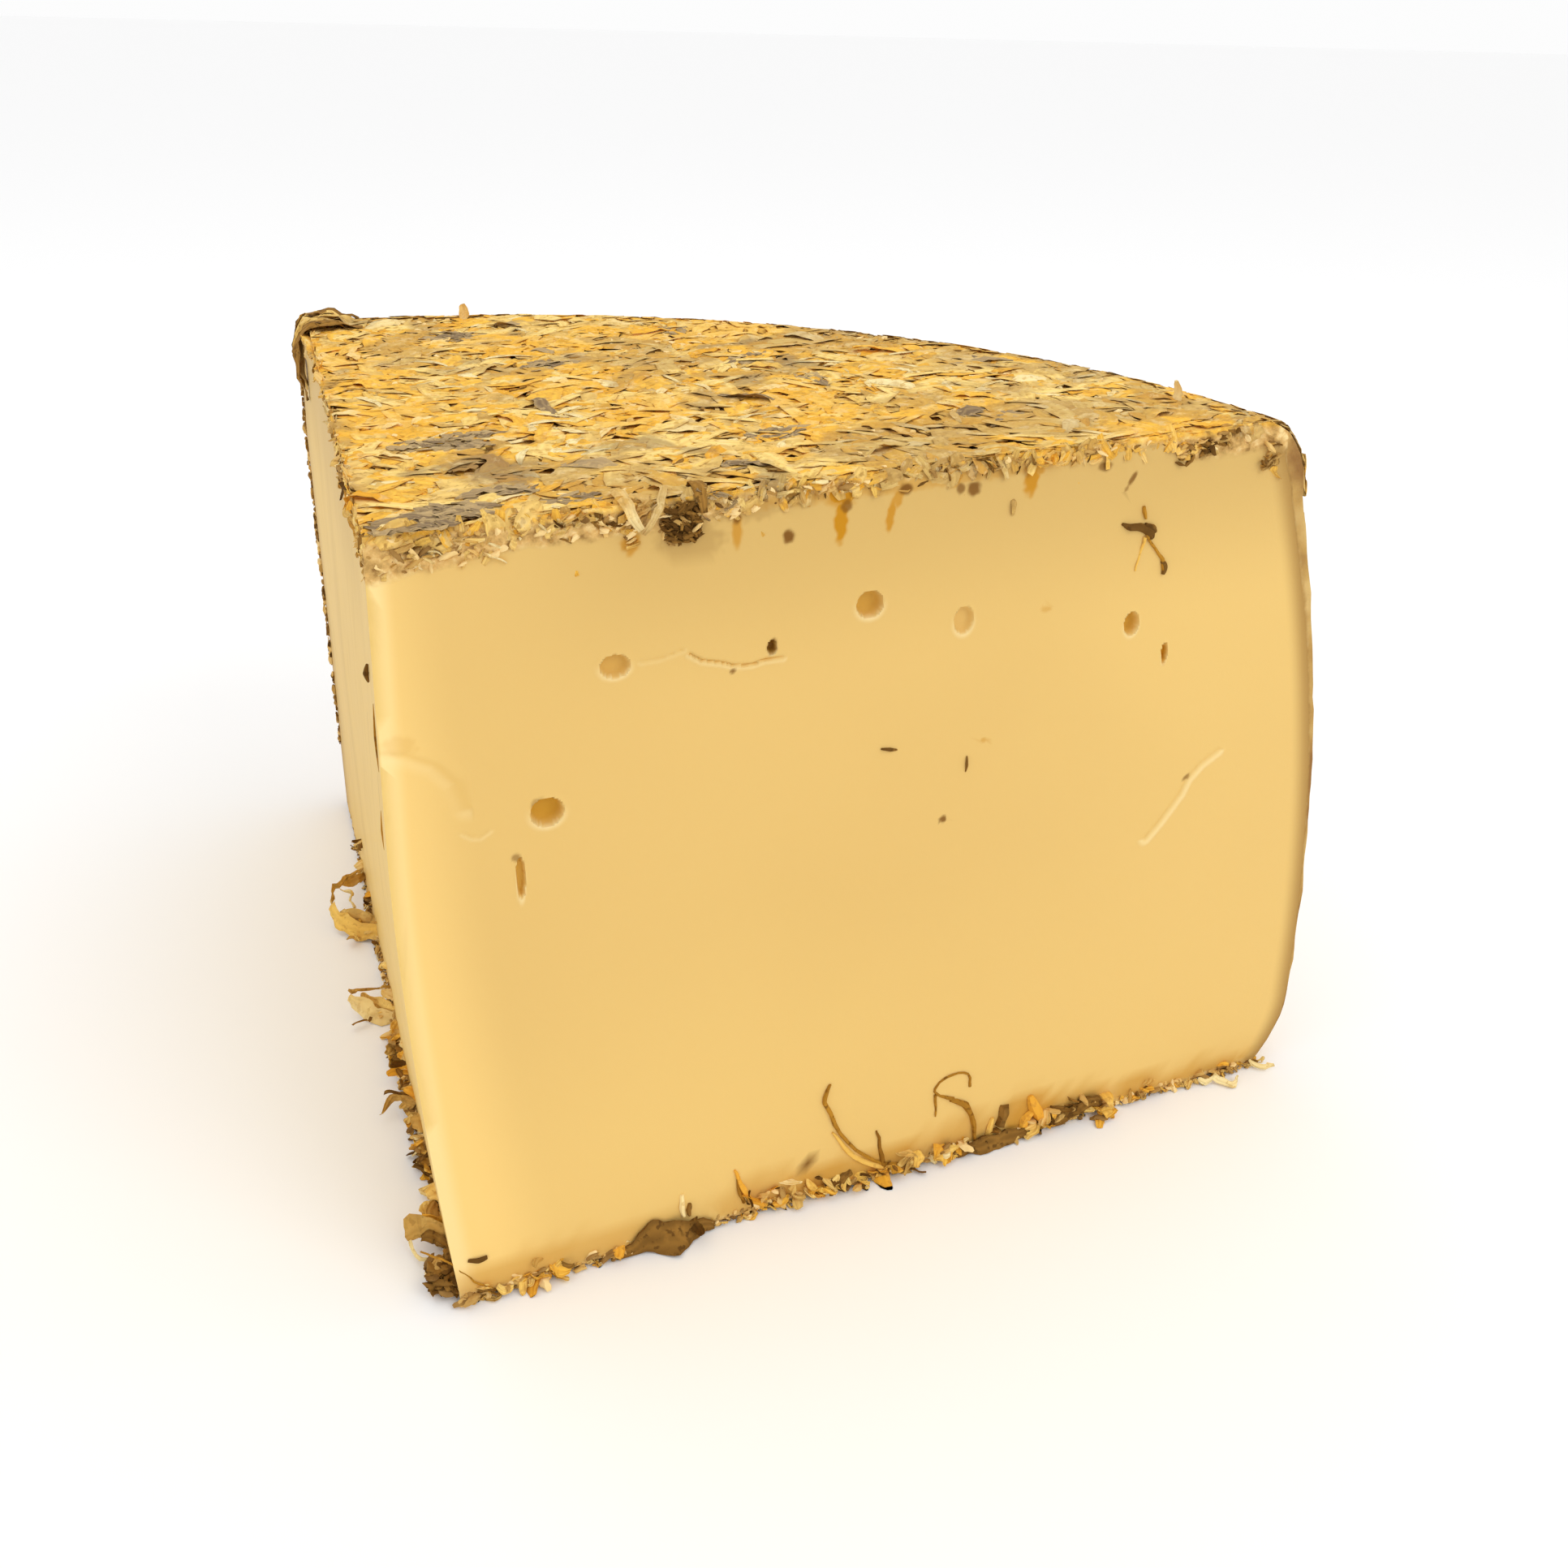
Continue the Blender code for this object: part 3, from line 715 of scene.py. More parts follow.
def cap_faces(mesh, ring, level, height_of, flip):
    """Close the wedge above or below with a grid whose border is a ring of the side."""
    grid = {}
    for column in range(FRONT_STEPS + 1):
        for row in range(LEFT_STEPS + 1):
            if column in (0, FRONT_STEPS) or row in (0, LEFT_STEPS):
                grid[column, row] = ring[outline_index(column, row)]
                continue
            share, angle = grid_place(column / FRONT_STEPS, row / LEFT_STEPS)
            point = ring_point(share, angle, *rim_profile(angle)[level])
            point.z = height_of(point, share, angle)
            grid[column, row] = mesh.verts.new(point)
    for column in range(FRONT_STEPS):
        for row in range(LEFT_STEPS):
            corners = [(column, row), (column + 1, row), (column + 1, row + 1), (column, row + 1)]
            if flip:
                corners.reverse()
            mesh.faces.new([grid[corner] for corner in corners])


def side_point(share, angle, level):
    """A point of the cut faces or the rim, with the unevenness of the crumbly edge and the rind."""
    point = ring_point(share, angle, *rim_profile(angle)[level])
    if 0 < share < 1:
        out = FRONT_OUT if angle == 0 else LEFT_OUT
        crumbly = 1 - smooth_step((top_height(share, angle) - point.z) / CRUMBLY_DROP)
        point += out * relief(point, EDGE_BUMP * crumbly, EDGE_GRAIN)
    elif share == 1:
        point += bearing(angle) * (relief(point, RIM_BUMP, RIND_GRAIN) - RIM_BUMP)
    return point


def top_relief(point, share, angle):
    """Height of the top's skin, packed unevenly except at the rim."""
    inside = smooth_step((1 - share) / 0.05)
    return top_height(share, angle) + inside * (relief(point, TOP_BUMP, RIND_GRAIN) - TOP_SINK)


def wedge_shell():
    """The closed wedge, evenly meshed."""
    mesh = bmesh.new()
    places = outline_places()
    levels = len(rim_profile(0))
    rings = [[mesh.verts.new(side_point(share, angle, level)) for share, angle in places]
             for level in range(levels)]
    for lower, upper in zip(rings, rings[1:]):
        for index in range(len(places)):
            after = (index + 1) % len(places)
            mesh.faces.new((lower[index], lower[after], upper[after], upper[index]))
    cap_faces(mesh, rings[-1], levels - 1, top_relief, False)
    cap_faces(mesh, rings[0], 0, lambda point, share, angle: 0.0, True)
    return mesh


def path_distance(place, path):
    """Distance from a place on the face to a chain of straight bits, and which side it is on."""
    best = math.inf
    above = 0
    for start, end in zip(path, path[1:]):
        run = (end[0] - start[0], end[1] - start[1])
        offset = (place[0] - start[0], place[1] - start[1])
        length = run[0] ** 2 + run[1] ** 2
        part = min(max((offset[0] * run[0] + offset[1] * run[1]) / length, 0), 1)
        gap = (offset[0] - part * run[0], offset[1] - part * run[1])
        distance = math.hypot(*gap)
        if distance < best:
            best = distance
            above = gap[1]
    return best, above


def band_depth(share):
    """How far down a cut face the crumbly rind reaches, deepest at the tip."""
    along = share * BELLY_RADIUS / MM
    depth = 5.0 - 1.6 * smooth_step(along / 18) - 2.3 * smooth_step((along - 38) / 18)
    return (depth + 2.6 * smooth_step((along - 110) / 5)) * MM


def near_feature(place):
    """True where the front face needs a finer mesh."""
    for along, height, wide, tall, _, _ in EYES:
        if abs(place[0] - along) < wide / 2 + 2 and abs(place[1] - height) < tall / 2 + 2:
            return True
    for path, width, _, _ in TEARS:
        if path_distance(place, path)[0] < width + 1.6:
            return True
    for _, along, height, wide, tall, _, _ in STAINS_AND_SHADE:
        reach = max(wide, tall)
        if reach < 8 and math.hypot(place[0] - along, place[1] - height) < reach * 0.8:
            return True
    return path_distance(place, KNIFE_STEP)[0] < KNIFE_STEP_REACH


def refine_faces(mesh):
    """Split the squares around eyes and tears, and those of the crumbly strips."""
    for turn in range(FINE_PASSES):
        edges = set()
        for face in mesh.faces:
            front = face.normal.y < FACE_NORMAL
            if not front and face.normal.x >= FACE_NORMAL:
                continue
            point = face.calc_center_median()
            share = min(point.xy.length / BELLY_RADIUS, 1)
            below_top = top_height(share, 0 if front else SECTOR_ANGLE) - point.z
            banded = below_top < CRUMBLY_DROP or point.z < CRUMBLY_FOOT
            centre = point / MM
            if turn < 2 and banded or front and near_feature((centre.x, centre.z)):
                edges.update(face.edges)
        bmesh.ops.subdivide_edges(mesh, edges=list(edges), cuts=1, use_grid_fill=True)
        mesh.normal_update()


def carve(place):
    """How far an eye, tear or step moves the front face out, and its colour weights: ochre and painted
    shade in hollows and grooves, a painted highlight on lower lips.
    """
    out = 0.0
    hollow_ochre_and_shade = 0.0
    lip_highlight = 0.0
    for along, height, wide, tall, deep, ochre in EYES:
        reach = math.hypot((place[0] - along) / wide, (place[1] - height) / tall) * 2 / EYE_SHARE
        if reach < 1:
            bowl = math.sqrt(1 - reach ** 2)
            out -= deep * smooth_step(bowl * 1.2)
            # Ochre with painted shade inside the eye.
            hollow_ochre_and_shade = max(hollow_ochre_and_shade, ochre * smooth_step(bowl * 1.3))
        elif reach < 1.5:
            edge = smooth_step((1.5 - reach) / 0.5)
            out += 0.10 * edge
            # A painted highlight on the lip below the eye.
            low = smooth_step((height - place[1]) / tall + 0.3)
            lip_highlight = max(lip_highlight, 0.45 * edge * low)
    for path, width, groove, ridge in TEARS:
        distance, above = path_distance(place, path)
        reach = distance / width
        if reach < 1:
            cut = smooth_step(1 - reach) if above > -0.05 else 0
            out -= groove * cut
            # Painted shade in the groove of the tear.
            hollow_ochre_and_shade = max(hollow_ochre_and_shade, 0.8 * cut * min(groove * 2, 1) * smooth_step(0.6 - reach))
        if above < 0 and reach < 1.8:
            swell = smooth_step(1 - abs(reach - 0.8))
            out += ridge * swell
            # A painted highlight on the ridge below the tear.
            lip_highlight = max(lip_highlight, min(ridge * 1.6, 0.35) * swell)
    distance, above = path_distance(place, KNIFE_STEP)
    if distance < KNIFE_STEP_REACH and place[0] < 9.6:
        side = smooth_step(0.5 + above)
        fade = smooth_step((KNIFE_STEP_REACH - distance) / 1.6)
        out += KNIFE_STEP_HEIGHT * fade * (side - 0.5)
        # Painted shade along the step and a painted highlight below it.
        hollow_ochre_and_shade = max(hollow_ochre_and_shade, 0.12 * fade * (1 - abs(side - 0.5) * 2))
        lip_highlight = max(lip_highlight, 0.15 * fade * smooth_step(-above))
    return out * MM, hollow_ochre_and_shade, lip_highlight


def stain_and_shade_levels(place):
    """How strongly the paste is stained orange and brown at a place on the front face, a few of these
    marks being painted shade and shadow.
    """
    levels = {"orange": 0.0, "brown": 0.0}
    for colour, along, height, wide, tall, lean, strength in STAINS_AND_SHADE:
        offset = (place[0] - along, place[1] - height)
        if max(abs(offset[0]), abs(offset[1])) > wide + tall:
            continue
        turn = math.radians(lean)
        right = offset[0] * math.cos(turn) + offset[1] * math.sin(turn)
        upward = offset[1] * math.cos(turn) - offset[0] * math.sin(turn)
        wobble = 0.35 * noise.noise(Vector((place[0] * 1.3, place[1] * 1.3, along)))
        reach = math.hypot(right / (wide / 2), upward / (tall / 2)) + wobble
        levels[colour] = max(levels[colour], strength * smooth_step((1.25 - reach) / 0.6))
    return levels["orange"], levels["brown"]


def body_point(point, normal):
    """Where a point of the wedge ends up, and the levels that the finish reads there."""
    on_front = normal.y < FACE_NORMAL
    on_left = normal.x < FACE_NORMAL
    out, hollow_ochre_and_shade, lip_highlight, orange, brown = 0.0, 0.0, 0.0, 0.0, 0.0
    if on_front:
        place = (point.x / MM, point.z / MM)
        out, hollow_ochre_and_shade, lip_highlight = carve(place)
        orange, brown = stain_and_shade_levels(place)
    radius = math.hypot(point.x, point.y)
    angle = min(max(math.atan2(point.y, point.x), 0), SECTOR_ANGLE)
    above = max(point.z - BELLY_HEIGHT, 0) / (TIP_HEIGHT - SHOULDER_DROP - BELLY_HEIGHT)
    wall = BELLY_RADIUS - WALL_LEAN * min(above, 1.15) ** 2
    wall -= FOOT_INSET * max(1 - point.z / FOOT_HEIGHT, 0) ** FOOT_BEND
    share = min(radius / wall, 1)
    below_top = top_height(share, angle) - point.z
    past_band = below_top - band_depth(share)
    crumbly = (1 - smooth_step(0.5 + past_band / (1.2 * MM))) * smooth_step(share / 0.02)
    crumbly = max(crumbly, 0.6 * (1 - smooth_step(point.z / (1.8 * MM))))
    crumbs = relief(point, CRUMB_BUMP, CRUMB_GRAIN) * crumbly
    place = Vector([value / length for value, length in zip(point, WAVE_LENGTHS)])
    waves = WAVE_HEIGHT * noise.noise(place)
    waves *= smooth_step(share / 0.05) * smooth_step((1 - share) / 0.05)
    levels = {
        "below_top": max(below_top, 0) / MM, "past_band": past_band / MM,
        "inside_rim": max(wall - radius, 0) / MM, "above_foot": point.z / MM,
        "beside_tip": (point - tip_shift(point.z)).xy.length / MM,
        "hollow_ochre_and_shade": hollow_ochre_and_shade, "lip_highlight": lip_highlight, "left_face": float(on_left),
        "orange_stain_and_shadow": orange, "brown_stain_and_shade": brown}
    moved = point.copy()
    if on_front:
        moved += FRONT_OUT * (out + waves + crumbs)
    elif on_left:
        moved += LEFT_OUT * (waves + crumbs)
    moved.z = max(moved.z, UNDERSIDE_LIFT)
    return moved + TIP, levels


def cheese_body():
    """The wedge with its eyes and tears, and the levels that its finish reads."""
    mesh = wedge_shell()
    bmesh.ops.recalc_face_normals(mesh, faces=mesh.faces[:])
    mesh.normal_update()
    refine_faces(mesh)
    values = {}
    for vert in mesh.verts:
        vert.co, levels = body_point(vert.co, vert.normal)
        for name, level in levels.items():
            values.setdefault(name, []).append(level)
    data = finished_mesh("cheese_body", mesh)
    store_values(data, values)
    return add_object("cheese_body", data)


# Petal shapes. A leaf's parts are its points, faces, and how far along and across it each point is.

RIB_PROFILE = ((-1, 0), (-0.4, 0.5), (0.35, 0.4), (1, 0), (0, -0.5))


def tube_faces(rings, around):
    """The faces of a closed tube of rings, with a lid at each end."""
    faces = []
    for base in range(0, (rings - 1) * around, around):
        for index in range(around):
            after = (index + 1) % around
            faces.append((base + index, base + around + index, base + around + after, base + after))
    faces.append(tuple(range(around)))
    faces.append(tuple(reversed(range((rings - 1) * around, rings * around))))
    return faces


def leaf_parts(stations, thick):
    """A thin ribbed leaf through its stations."""
    verts = []
    run = []
    spread = []
    for step, (centre, side, normal, half_width) in enumerate(stations):
        for across, height in RIB_PROFILE:
            verts.append(centre + side * across * half_width + normal * height * thick)
            run.append(step / (len(stations) - 1))
            spread.append(across)
    return verts, tube_faces(len(stations), len(RIB_PROFILE)), run, spread


def leaf_outline(kind, part):
    """Half width of a leaf at a part of its length, 0 to 1, as a share of its widest."""
    if kind == "floret":
        return 0.35 + 0.65 * math.sin(math.pi * min(0.12 + part * 0.72, 1))
    if kind == "broad":
        return 0.12 + 0.88 * math.sin(math.pi * part ** 0.75) ** 0.7
    if kind == "sliver":
        return 0.25 + 0.75 * math.sin(math.pi * part)
    return 0.5 + 0.5 * math.sin(math.pi * part) ** 0.5


def flat_leaf(kind, length, width, thick, draw, steps=5, bend=0.04, ragged=0.18):
    """A pressed leaf along X, centred, gently arched and wavy."""
    stations = []
    sway = draw.uniform(-0.12, 0.12)
    arch = draw.uniform(-bend, bend)
    phase = draw.uniform(0, 2 * math.pi)
    for step in range(steps + 1):
        part = step / steps
        place = part - 0.5
        rough = 1 + draw.uniform(-ragged, ragged)
        centre = Vector((
            place * length,
            sway * length * (place * place * 4 - 0.5) + draw.uniform(-0.04, 0.04) * width,
            arch * length * (1 - place * place * 4) + 0.25 * thick * math.sin(phase + part * 7)))
        tilt = draw.uniform(-0.25, 0.25)
        side = Vector((0, math.cos(tilt), math.sin(tilt)))
        normal = Vector((0, -math.sin(tilt), math.cos(tilt)))
        stations.append((centre, side, normal, width / 2 * leaf_outline(kind, part) * rough))
    return leaf_parts(stations, thick)


def curl_path(start, direction, across, length, turn, steps=4):
    """A path that leaves along a direction and turns about the across direction as it goes."""
    path = [start]
    bend = Matrix.Rotation(turn / steps, 3, across)
    for _ in range(steps):
        path.append(path[-1] + direction * length / steps)
        direction = bend @ direction
    return path


def smooth_path(path, steps):
    """More points along the same path, rounded between its own."""
    result = []
    last = len(path) - 1
    for step in range(steps + 1):
        place = step / steps * last
        index = min(int(place), last - 1)
        part = place - index
        before = path[max(index - 1, 0)]
        start = path[index]
        end = path[index + 1]
        after = path[min(index + 2, last)]
        result.append(0.5 * (
            2 * start + (end - before) * part
            + (2 * before - 5 * start + 4 * end - after) * part ** 2
            + (3 * start - before - 3 * end + after) * part ** 3))
    return result


def with_heading(points):
    """Each point of a path, with the direction of the path there."""
    ahead = points[1:] + points[-1:]
    behind = points[:1] + points[:-1]
    return [(point, (after - before).normalized())
            for point, after, before in zip(points, ahead, behind)]


def curl_leaf(path, across, width, thick, draw, steps=12):
    """A leaf that follows a curled path."""
    stations = []
    twist = draw.uniform(-0.5, 0.5)
    for step, (centre, ahead) in enumerate(with_heading(smooth_path(path, steps))):
        side = (across - ahead * across.dot(ahead)).normalized()
        side = Matrix.Rotation(twist * step / steps, 3, ahead) @ side
        fullness = 0.5 + 0.5 * math.sin(math.pi * (step / steps) ** 0.8)
        rough = 1 + draw.uniform(-0.12, 0.08)
        stations.append((centre, side, ahead.cross(side).normalized(), width / 2 * fullness * rough))
    return leaf_parts(stations, thick)


def stalk_parts(path, radii, steps=14, around=6):
    """A round stalk through a path, its thickness set at the path's own points."""
    last = len(radii) - 1
    verts = []
    for step, (centre, ahead) in enumerate(with_heading(smooth_path(path, steps))):
        side = ahead.cross(FRONT_OUT)
        if side.length < 0.1:
            side = ahead.cross(UP)
        side.normalize()
        normal = side.cross(ahead)
        index = min(int(step / steps * last), last - 1)
        part = step / steps * last - index
        radius = radii[index] * (1 - part) + radii[index + 1] * part
        for corner in range(around):
            turn = 2 * math.pi * corner / around
            verts.append(centre + (side * math.cos(turn) + normal * math.sin(turn)) * radius)
    run = [step / steps for step in range(steps + 1) for _ in range(around)]
    return verts, tube_faces(steps + 1, around), run, [0.0] * len(verts)


def crumb_parts(draw):
    """A lump of rind about a millimetre across."""
    mesh = bmesh.new()
    bmesh.ops.create_icosphere(mesh, subdivisions=2, radius=0.5 * MM)
    shift = Vector((draw.uniform(0, 9), draw.uniform(0, 9), draw.uniform(0, 9)))
    stretch = Vector((draw.uniform(0.9, 2.2), draw.uniform(0.6, 1.2), draw.uniform(0.4, 0.8)))
    verts = []
    for vert in mesh.verts:
        point = Vector((vert.co.x * stretch.x, vert.co.y * stretch.y, vert.co.z * stretch.z))
        verts.append(point * (1 + 0.8 * noise.noise(vert.co / (0.4 * MM) + shift)))
    faces = [tuple(vert.index for vert in face.verts) for face in mesh.faces]
    mesh.free()
    return verts, faces, [0.5] * len(verts), [0.0] * len(verts)


def placed(parts, spin, spot, size=1):
    """A leaf or crumb turned, sized and moved to its spot."""
    verts, faces, run, spread = parts
    return [spin @ vert * size + spot for vert in verts], faces, run, spread


class Heap:
    """Many leaves gathered into one piece."""

    def __init__(self, name):
        self.name = name
        self.verts = []
        self.faces = []
        self.values = {"run": [], "spread": [], "tint": []}

    def add(self, parts, tint, crumple=0.0):
        """Add one leaf, its points shaken by crumple."""
        verts, faces, run, spread = parts
        base = len(self.verts)
        for vert in verts:
            moved = vert + noise.noise_vector(vert / CRUMPLE_GRAIN) * crumple
            moved.z = max(moved.z, LOWEST_POINT)
            self.verts.append(moved + TIP)
        self.faces.extend(tuple(base + index for index in face) for face in faces)
        self.values["run"].extend(run)
        self.values["spread"].extend(spread)
        self.values["tint"].extend([tint] * len(verts))

    def build(self):
        """One object, with every leaf's faces outwards."""
        thing = add_object(self.name, mesh_data(self.name, self.verts, self.faces, self.values))
        edit_mesh(thing, lambda mesh: bmesh.ops.recalc_face_normals(mesh, faces=mesh.faces[:]))
        return thing


# Scattering by Geometry Nodes.

SCATTER_INPUTS = {
    "Leaves": "Collection", "Spacing": "Float", "Density": "Float", "Seed": "Int",
    "Smallest": "Float", "Largest": "Float", "Lean": "Float", "Lift": "Float",
    "Patch Shift": "Float", "Patch Cut": "Float", "Finish": "Material",
}


def scatter_tree():
    """A tree that lays a collection's leaves over a surface and gives each its own tint."""
    tree = bpy.data.node_groups.new("scatter_leaves", "GeometryNodeTree")
    add_socket = tree.interface.new_socket
    add_socket("Geometry", in_out="INPUT", socket_type="NodeSocketGeometry")
    for label, kind in SCATTER_INPUTS.items():
        add_socket(label, in_out="INPUT", socket_type=f"NodeSocket{kind}")
    add_socket("Geometry", in_out="OUTPUT", socket_type="NodeSocketGeometry")
    given = add_node(tree, "NodeGroupInput").outputs

    def result(kind, inputs, output=0, **settings):
        return add_node(tree, kind, settings, inputs).outputs[output]

    def maths(operation, first, second):
        return result("ShaderNodeMath", {0: first, 1: second}, operation=operation)

    def chance(low, high):
        return result("FunctionNodeRandomValue", {2: low, 3: high, "Seed": given["Seed"]}, 1,
                      data_type="FLOAT")

    place = result("GeometryNodeInputPosition", {})
    shifted = result("ShaderNodeVectorMath", {0: place, 1: given["Patch Shift"]}, operation="ADD")
    cloud = result("ShaderNodeTexNoise", {"Vector": shifted, "Scale": PATCH_SCALE, "Detail": 1.0})
    patchy = result("ShaderNodeMapRange", {
        "Value": cloud, "From Min": given["Patch Cut"],
        "From Max": maths("ADD", given["Patch Cut"], PATCH_EDGE)})
    points = add_node(tree, "GeometryNodeDistributePointsOnFaces", {"distribute_method": "POISSON"}, {
        "Mesh": given["Geometry"], "Distance Min": given["Spacing"], "Density Max": given["Density"],
        "Density Factor": patchy, "Seed": given["Seed"]}).outputs
    leaves = result("GeometryNodeCollectionInfo", {
        "Collection": given["Leaves"], "Separate Children": True, "Reset Children": True})
    negative = maths("MULTIPLY", given["Lean"], -1.0)
    low = result("ShaderNodeCombineXYZ", {"X": negative, "Y": negative, "Z": -math.pi})
    high = result("ShaderNodeCombineXYZ", {"X": given["Lean"], "Y": given["Lean"], "Z": math.pi})
    spin = result("FunctionNodeRandomValue", {0: low, 1: high, "Seed": given["Seed"]},
                  data_type="FLOAT_VECTOR")
    turned = result("FunctionNodeRotateRotation", {"Rotation": points["Rotation"], "Rotate By": spin},
                    rotation_space="LOCAL")
    copies = result("GeometryNodeInstanceOnPoints", {
        "Points": points["Points"], "Instance": leaves, "Pick Instance": True,
        "Rotation": turned, "Scale": chance(given["Smallest"], given["Largest"])})
    lift = result("ShaderNodeCombineXYZ", {"Z": given["Lift"]})
    raised = result("GeometryNodeTranslateInstances", {
        "Instances": copies, "Translation": lift, "Local Space": True})
    tinted = result("GeometryNodeStoreNamedAttribute", {
        "Geometry": raised, "Name": "tint", "Value": chance(0.0, 1.0)},
        data_type="FLOAT", domain="INSTANCE")
    real = result("GeometryNodeRealizeInstances", {"Geometry": tinted})
    finished = result("GeometryNodeSetMaterial", {"Geometry": real, "Material": given["Finish"]})
    add_node(tree, "NodeGroupOutput", {}, {"Geometry": finished})
    return tree


def leaf_collection(name, makers):
    """A hidden collection of leaf shapes for the scatter tree."""
    collection = bpy.data.collections.new(name)
    for index, (verts, faces, run, spread) in enumerate(makers):
        label = f"{name}_{index}"
        data = mesh_data(label, verts, faces, {"run": run, "spread": spread})
        collection.objects.link(bpy.data.objects.new(label, data))
    return collection


def scatter(tree, name, surface, collection, finish, seed, spacing, density, sizes, lean, lift, patch):
    """Leaves laid over a surface, as one plain mesh object."""
    thing = add_object(name, surface.copy())
    modifier = thing.modifiers.new("scatter", "NODES")
    modifier.node_group = tree
    wanted = {
        "Leaves": collection, "Spacing": spacing * MM, "Density": density, "Seed": seed,
        "Smallest": sizes[0], "Largest": sizes[1], "Lean": lean, "Lift": lift * MM,
        "Finish": finish, "Patch Shift": seed * PATCH_SHIFT, "Patch Cut": patch}
    for item in tree.interface.items_tree:
        if item.in_out == "INPUT" and item.name in wanted:
            modifier[item.identifier] = wanted[item.name]
    bpy.context.view_layer.update()
    graph = bpy.context.evaluated_depsgraph_get()
    data = bpy.data.meshes.new_from_object(thing.evaluated_get(graph), depsgraph=graph)
    thing.modifiers.clear()
    thing.data = data
    data.name = name
    return thing


def trim_at_cuts(thing, margin):
    """Cut leaves off where the knife went through, and close what is cut."""

    def trim(mesh):
        for out in (FRONT_OUT, LEFT_OUT):
            geometry = mesh.verts[:] + mesh.edges[:] + mesh.faces[:]
            bmesh.ops.bisect_plane(mesh, geom=geometry, plane_co=TIP + out * margin, plane_no=out,
                                   clear_outer=True, dist=1e-7)
            rims = [edge for edge in mesh.edges if edge.is_boundary]
            bmesh.ops.holes_fill(mesh, edges=rims, sides=0)

    edit_mesh(thing, trim)


def press(thing, surface, thickest):
    """Press leaves against a surface, so that none stands further off than thickest."""
    tree = search_tree(surface)
    for vert in thing.data.vertices:
        place, normal, _, _ = tree.find_nearest(vert.co)
        height = (vert.co - place).dot(normal)
        vert.co = place + normal * thickest * math.tanh(height / thickest)


# Surfaces that carry leaves.

AROUND_STEPS = 48
INWARD_STEPS = 30
BAND_STEPS = 60


def rind_surface(kind):
    """The part of the wheel's skin that leaves lie on: top, rim or under."""
    levels = len(rim_profile(0))
    sides = {"rim": range(levels - 1), "top": range(levels - SHOULDER_STEPS - 1, levels), "under": ()}
    rows = [(1, level) for level in sides[kind]]
    if kind != "rim":
        inner = levels - 1 if kind == "top" else 0
        rows += [(max(1 - row / INWARD_STEPS, 0.002), inner) for row in range(1, INWARD_STEPS + 1)]
    mesh = bmesh.new()
    grid = []
    for share, level in rows:
        ring = []
        for step in range(AROUND_STEPS + 1):
            angle = SECTOR_ANGLE * step / AROUND_STEPS
            point = ring_point(share, angle, *rim_profile(angle)[level]) + TIP
            if kind == "under":
                point.z = UNDERSIDE_LIFT
            ring.append(mesh.verts.new(point))
        grid.append(ring)
    for first, second in zip(grid, grid[1:]):
        for step in range(AROUND_STEPS):
            corners = (first[step], first[step + 1], second[step + 1], second[step])
            mesh.faces.new(corners if kind != "under" else corners[::-1])
    return finished_mesh(f"{kind}_skin", mesh)


def band_surface(kind):
    """A strip of both cut faces, along the top rind, its edge or the foot."""
    verts = []
    faces = []
    for face, (surface, _, _, angle) in FACES.items():
        base = len(verts)
        nearest = tip_shift(MM).x + MM if kind == "foot" and face == "front" else 0.5 * MM
        for step in range(BAND_STEPS + 1):
            along = nearest + (TOP_RADIUS - 1.2 * MM - nearest) * step / BAND_STEPS
            share = along / BELLY_RADIUS
            high = top_height(share, angle)
            heights = {
                "top": (high - 0.3 * MM, high - band_depth(share) * 0.95),
                "edge": (high + 0.2 * MM, high - 1.9 * MM),
                "foot": (1.6 * MM, 0.3 * MM)}[kind]
            verts += [surface(along, height) + TIP for height in heights]
        for corner in range(base, base + 2 * BAND_STEPS, 2):
            quad = (corner, corner + 1, corner + 3, corner + 2)
            faces.append(quad if face == "front" else quad[::-1])
    return mesh_data(f"{kind}_band", verts, faces)


# The petals that the solid also has. A note keeps one petal: kind, start, heading, across, and the
# sizes in mm.

def rooted(face, along, height):
    """A place on a cut face, sunk in by the root of a petal."""
    surface, outward_way = FACES[face][:2]
    return surface(along, height) - outward_way * ROOT_DEPTH


def sideways(heading):
    return Vector((heading.y, -heading.x, 0)).normalized()


def foot_petals(draw, note):
    for step in range(FRONT_FOOT_PETALS):
        along = (9 + step * 9.2 + draw.uniform(-2.5, 2.5)) * MM
        start = rooted("front", along, draw.uniform(1.4, 3.5) * MM)
        heading = FRONT_OUT * draw.uniform(0.5, 1) + Vector((draw.uniform(-1, 1), 0, draw.uniform(0, 0.2)))
        note("front_foot", start, heading, sideways(heading), (5, 8.5), (2.2, 3.6), (-0.5, 0.3))
    for step in range(LEFT_FOOT_PETALS):
        along = (6 + step * 10.4 + draw.uniform(-2.5, 2.5)) * MM
        start = rooted("left", along, draw.uniform(1.6, 5) * MM)
        heading = LEFT_OUT + Vector((0, draw.uniform(-0.9, 0.9), draw.uniform(0.1, 0.7)))
        note("left_foot", start, heading, sideways(heading), (5, 8), (2.4, 4.2), (-1.2, 0.8))
    for step in range(RIM_FOOT_PETALS):
        angle = SECTOR_ANGLE * (step + 0.5) / RIM_FOOT_PETALS
        radius = BELLY_RADIUS - FOOT_INSET * 0.5 ** FOOT_BEND
        start = ring_point(1, angle, radius, FOOT_HEIGHT / 2) - bearing(angle) * ROOT_DEPTH
        heading = bearing(angle) + Vector((draw.uniform(-0.6, 0.6), draw.uniform(-0.6, 0.6), -0.1))
        note("rim_foot", start, heading, sideways(heading), (4, 6), (2.2, 3.4), (-0.4, 0.4))


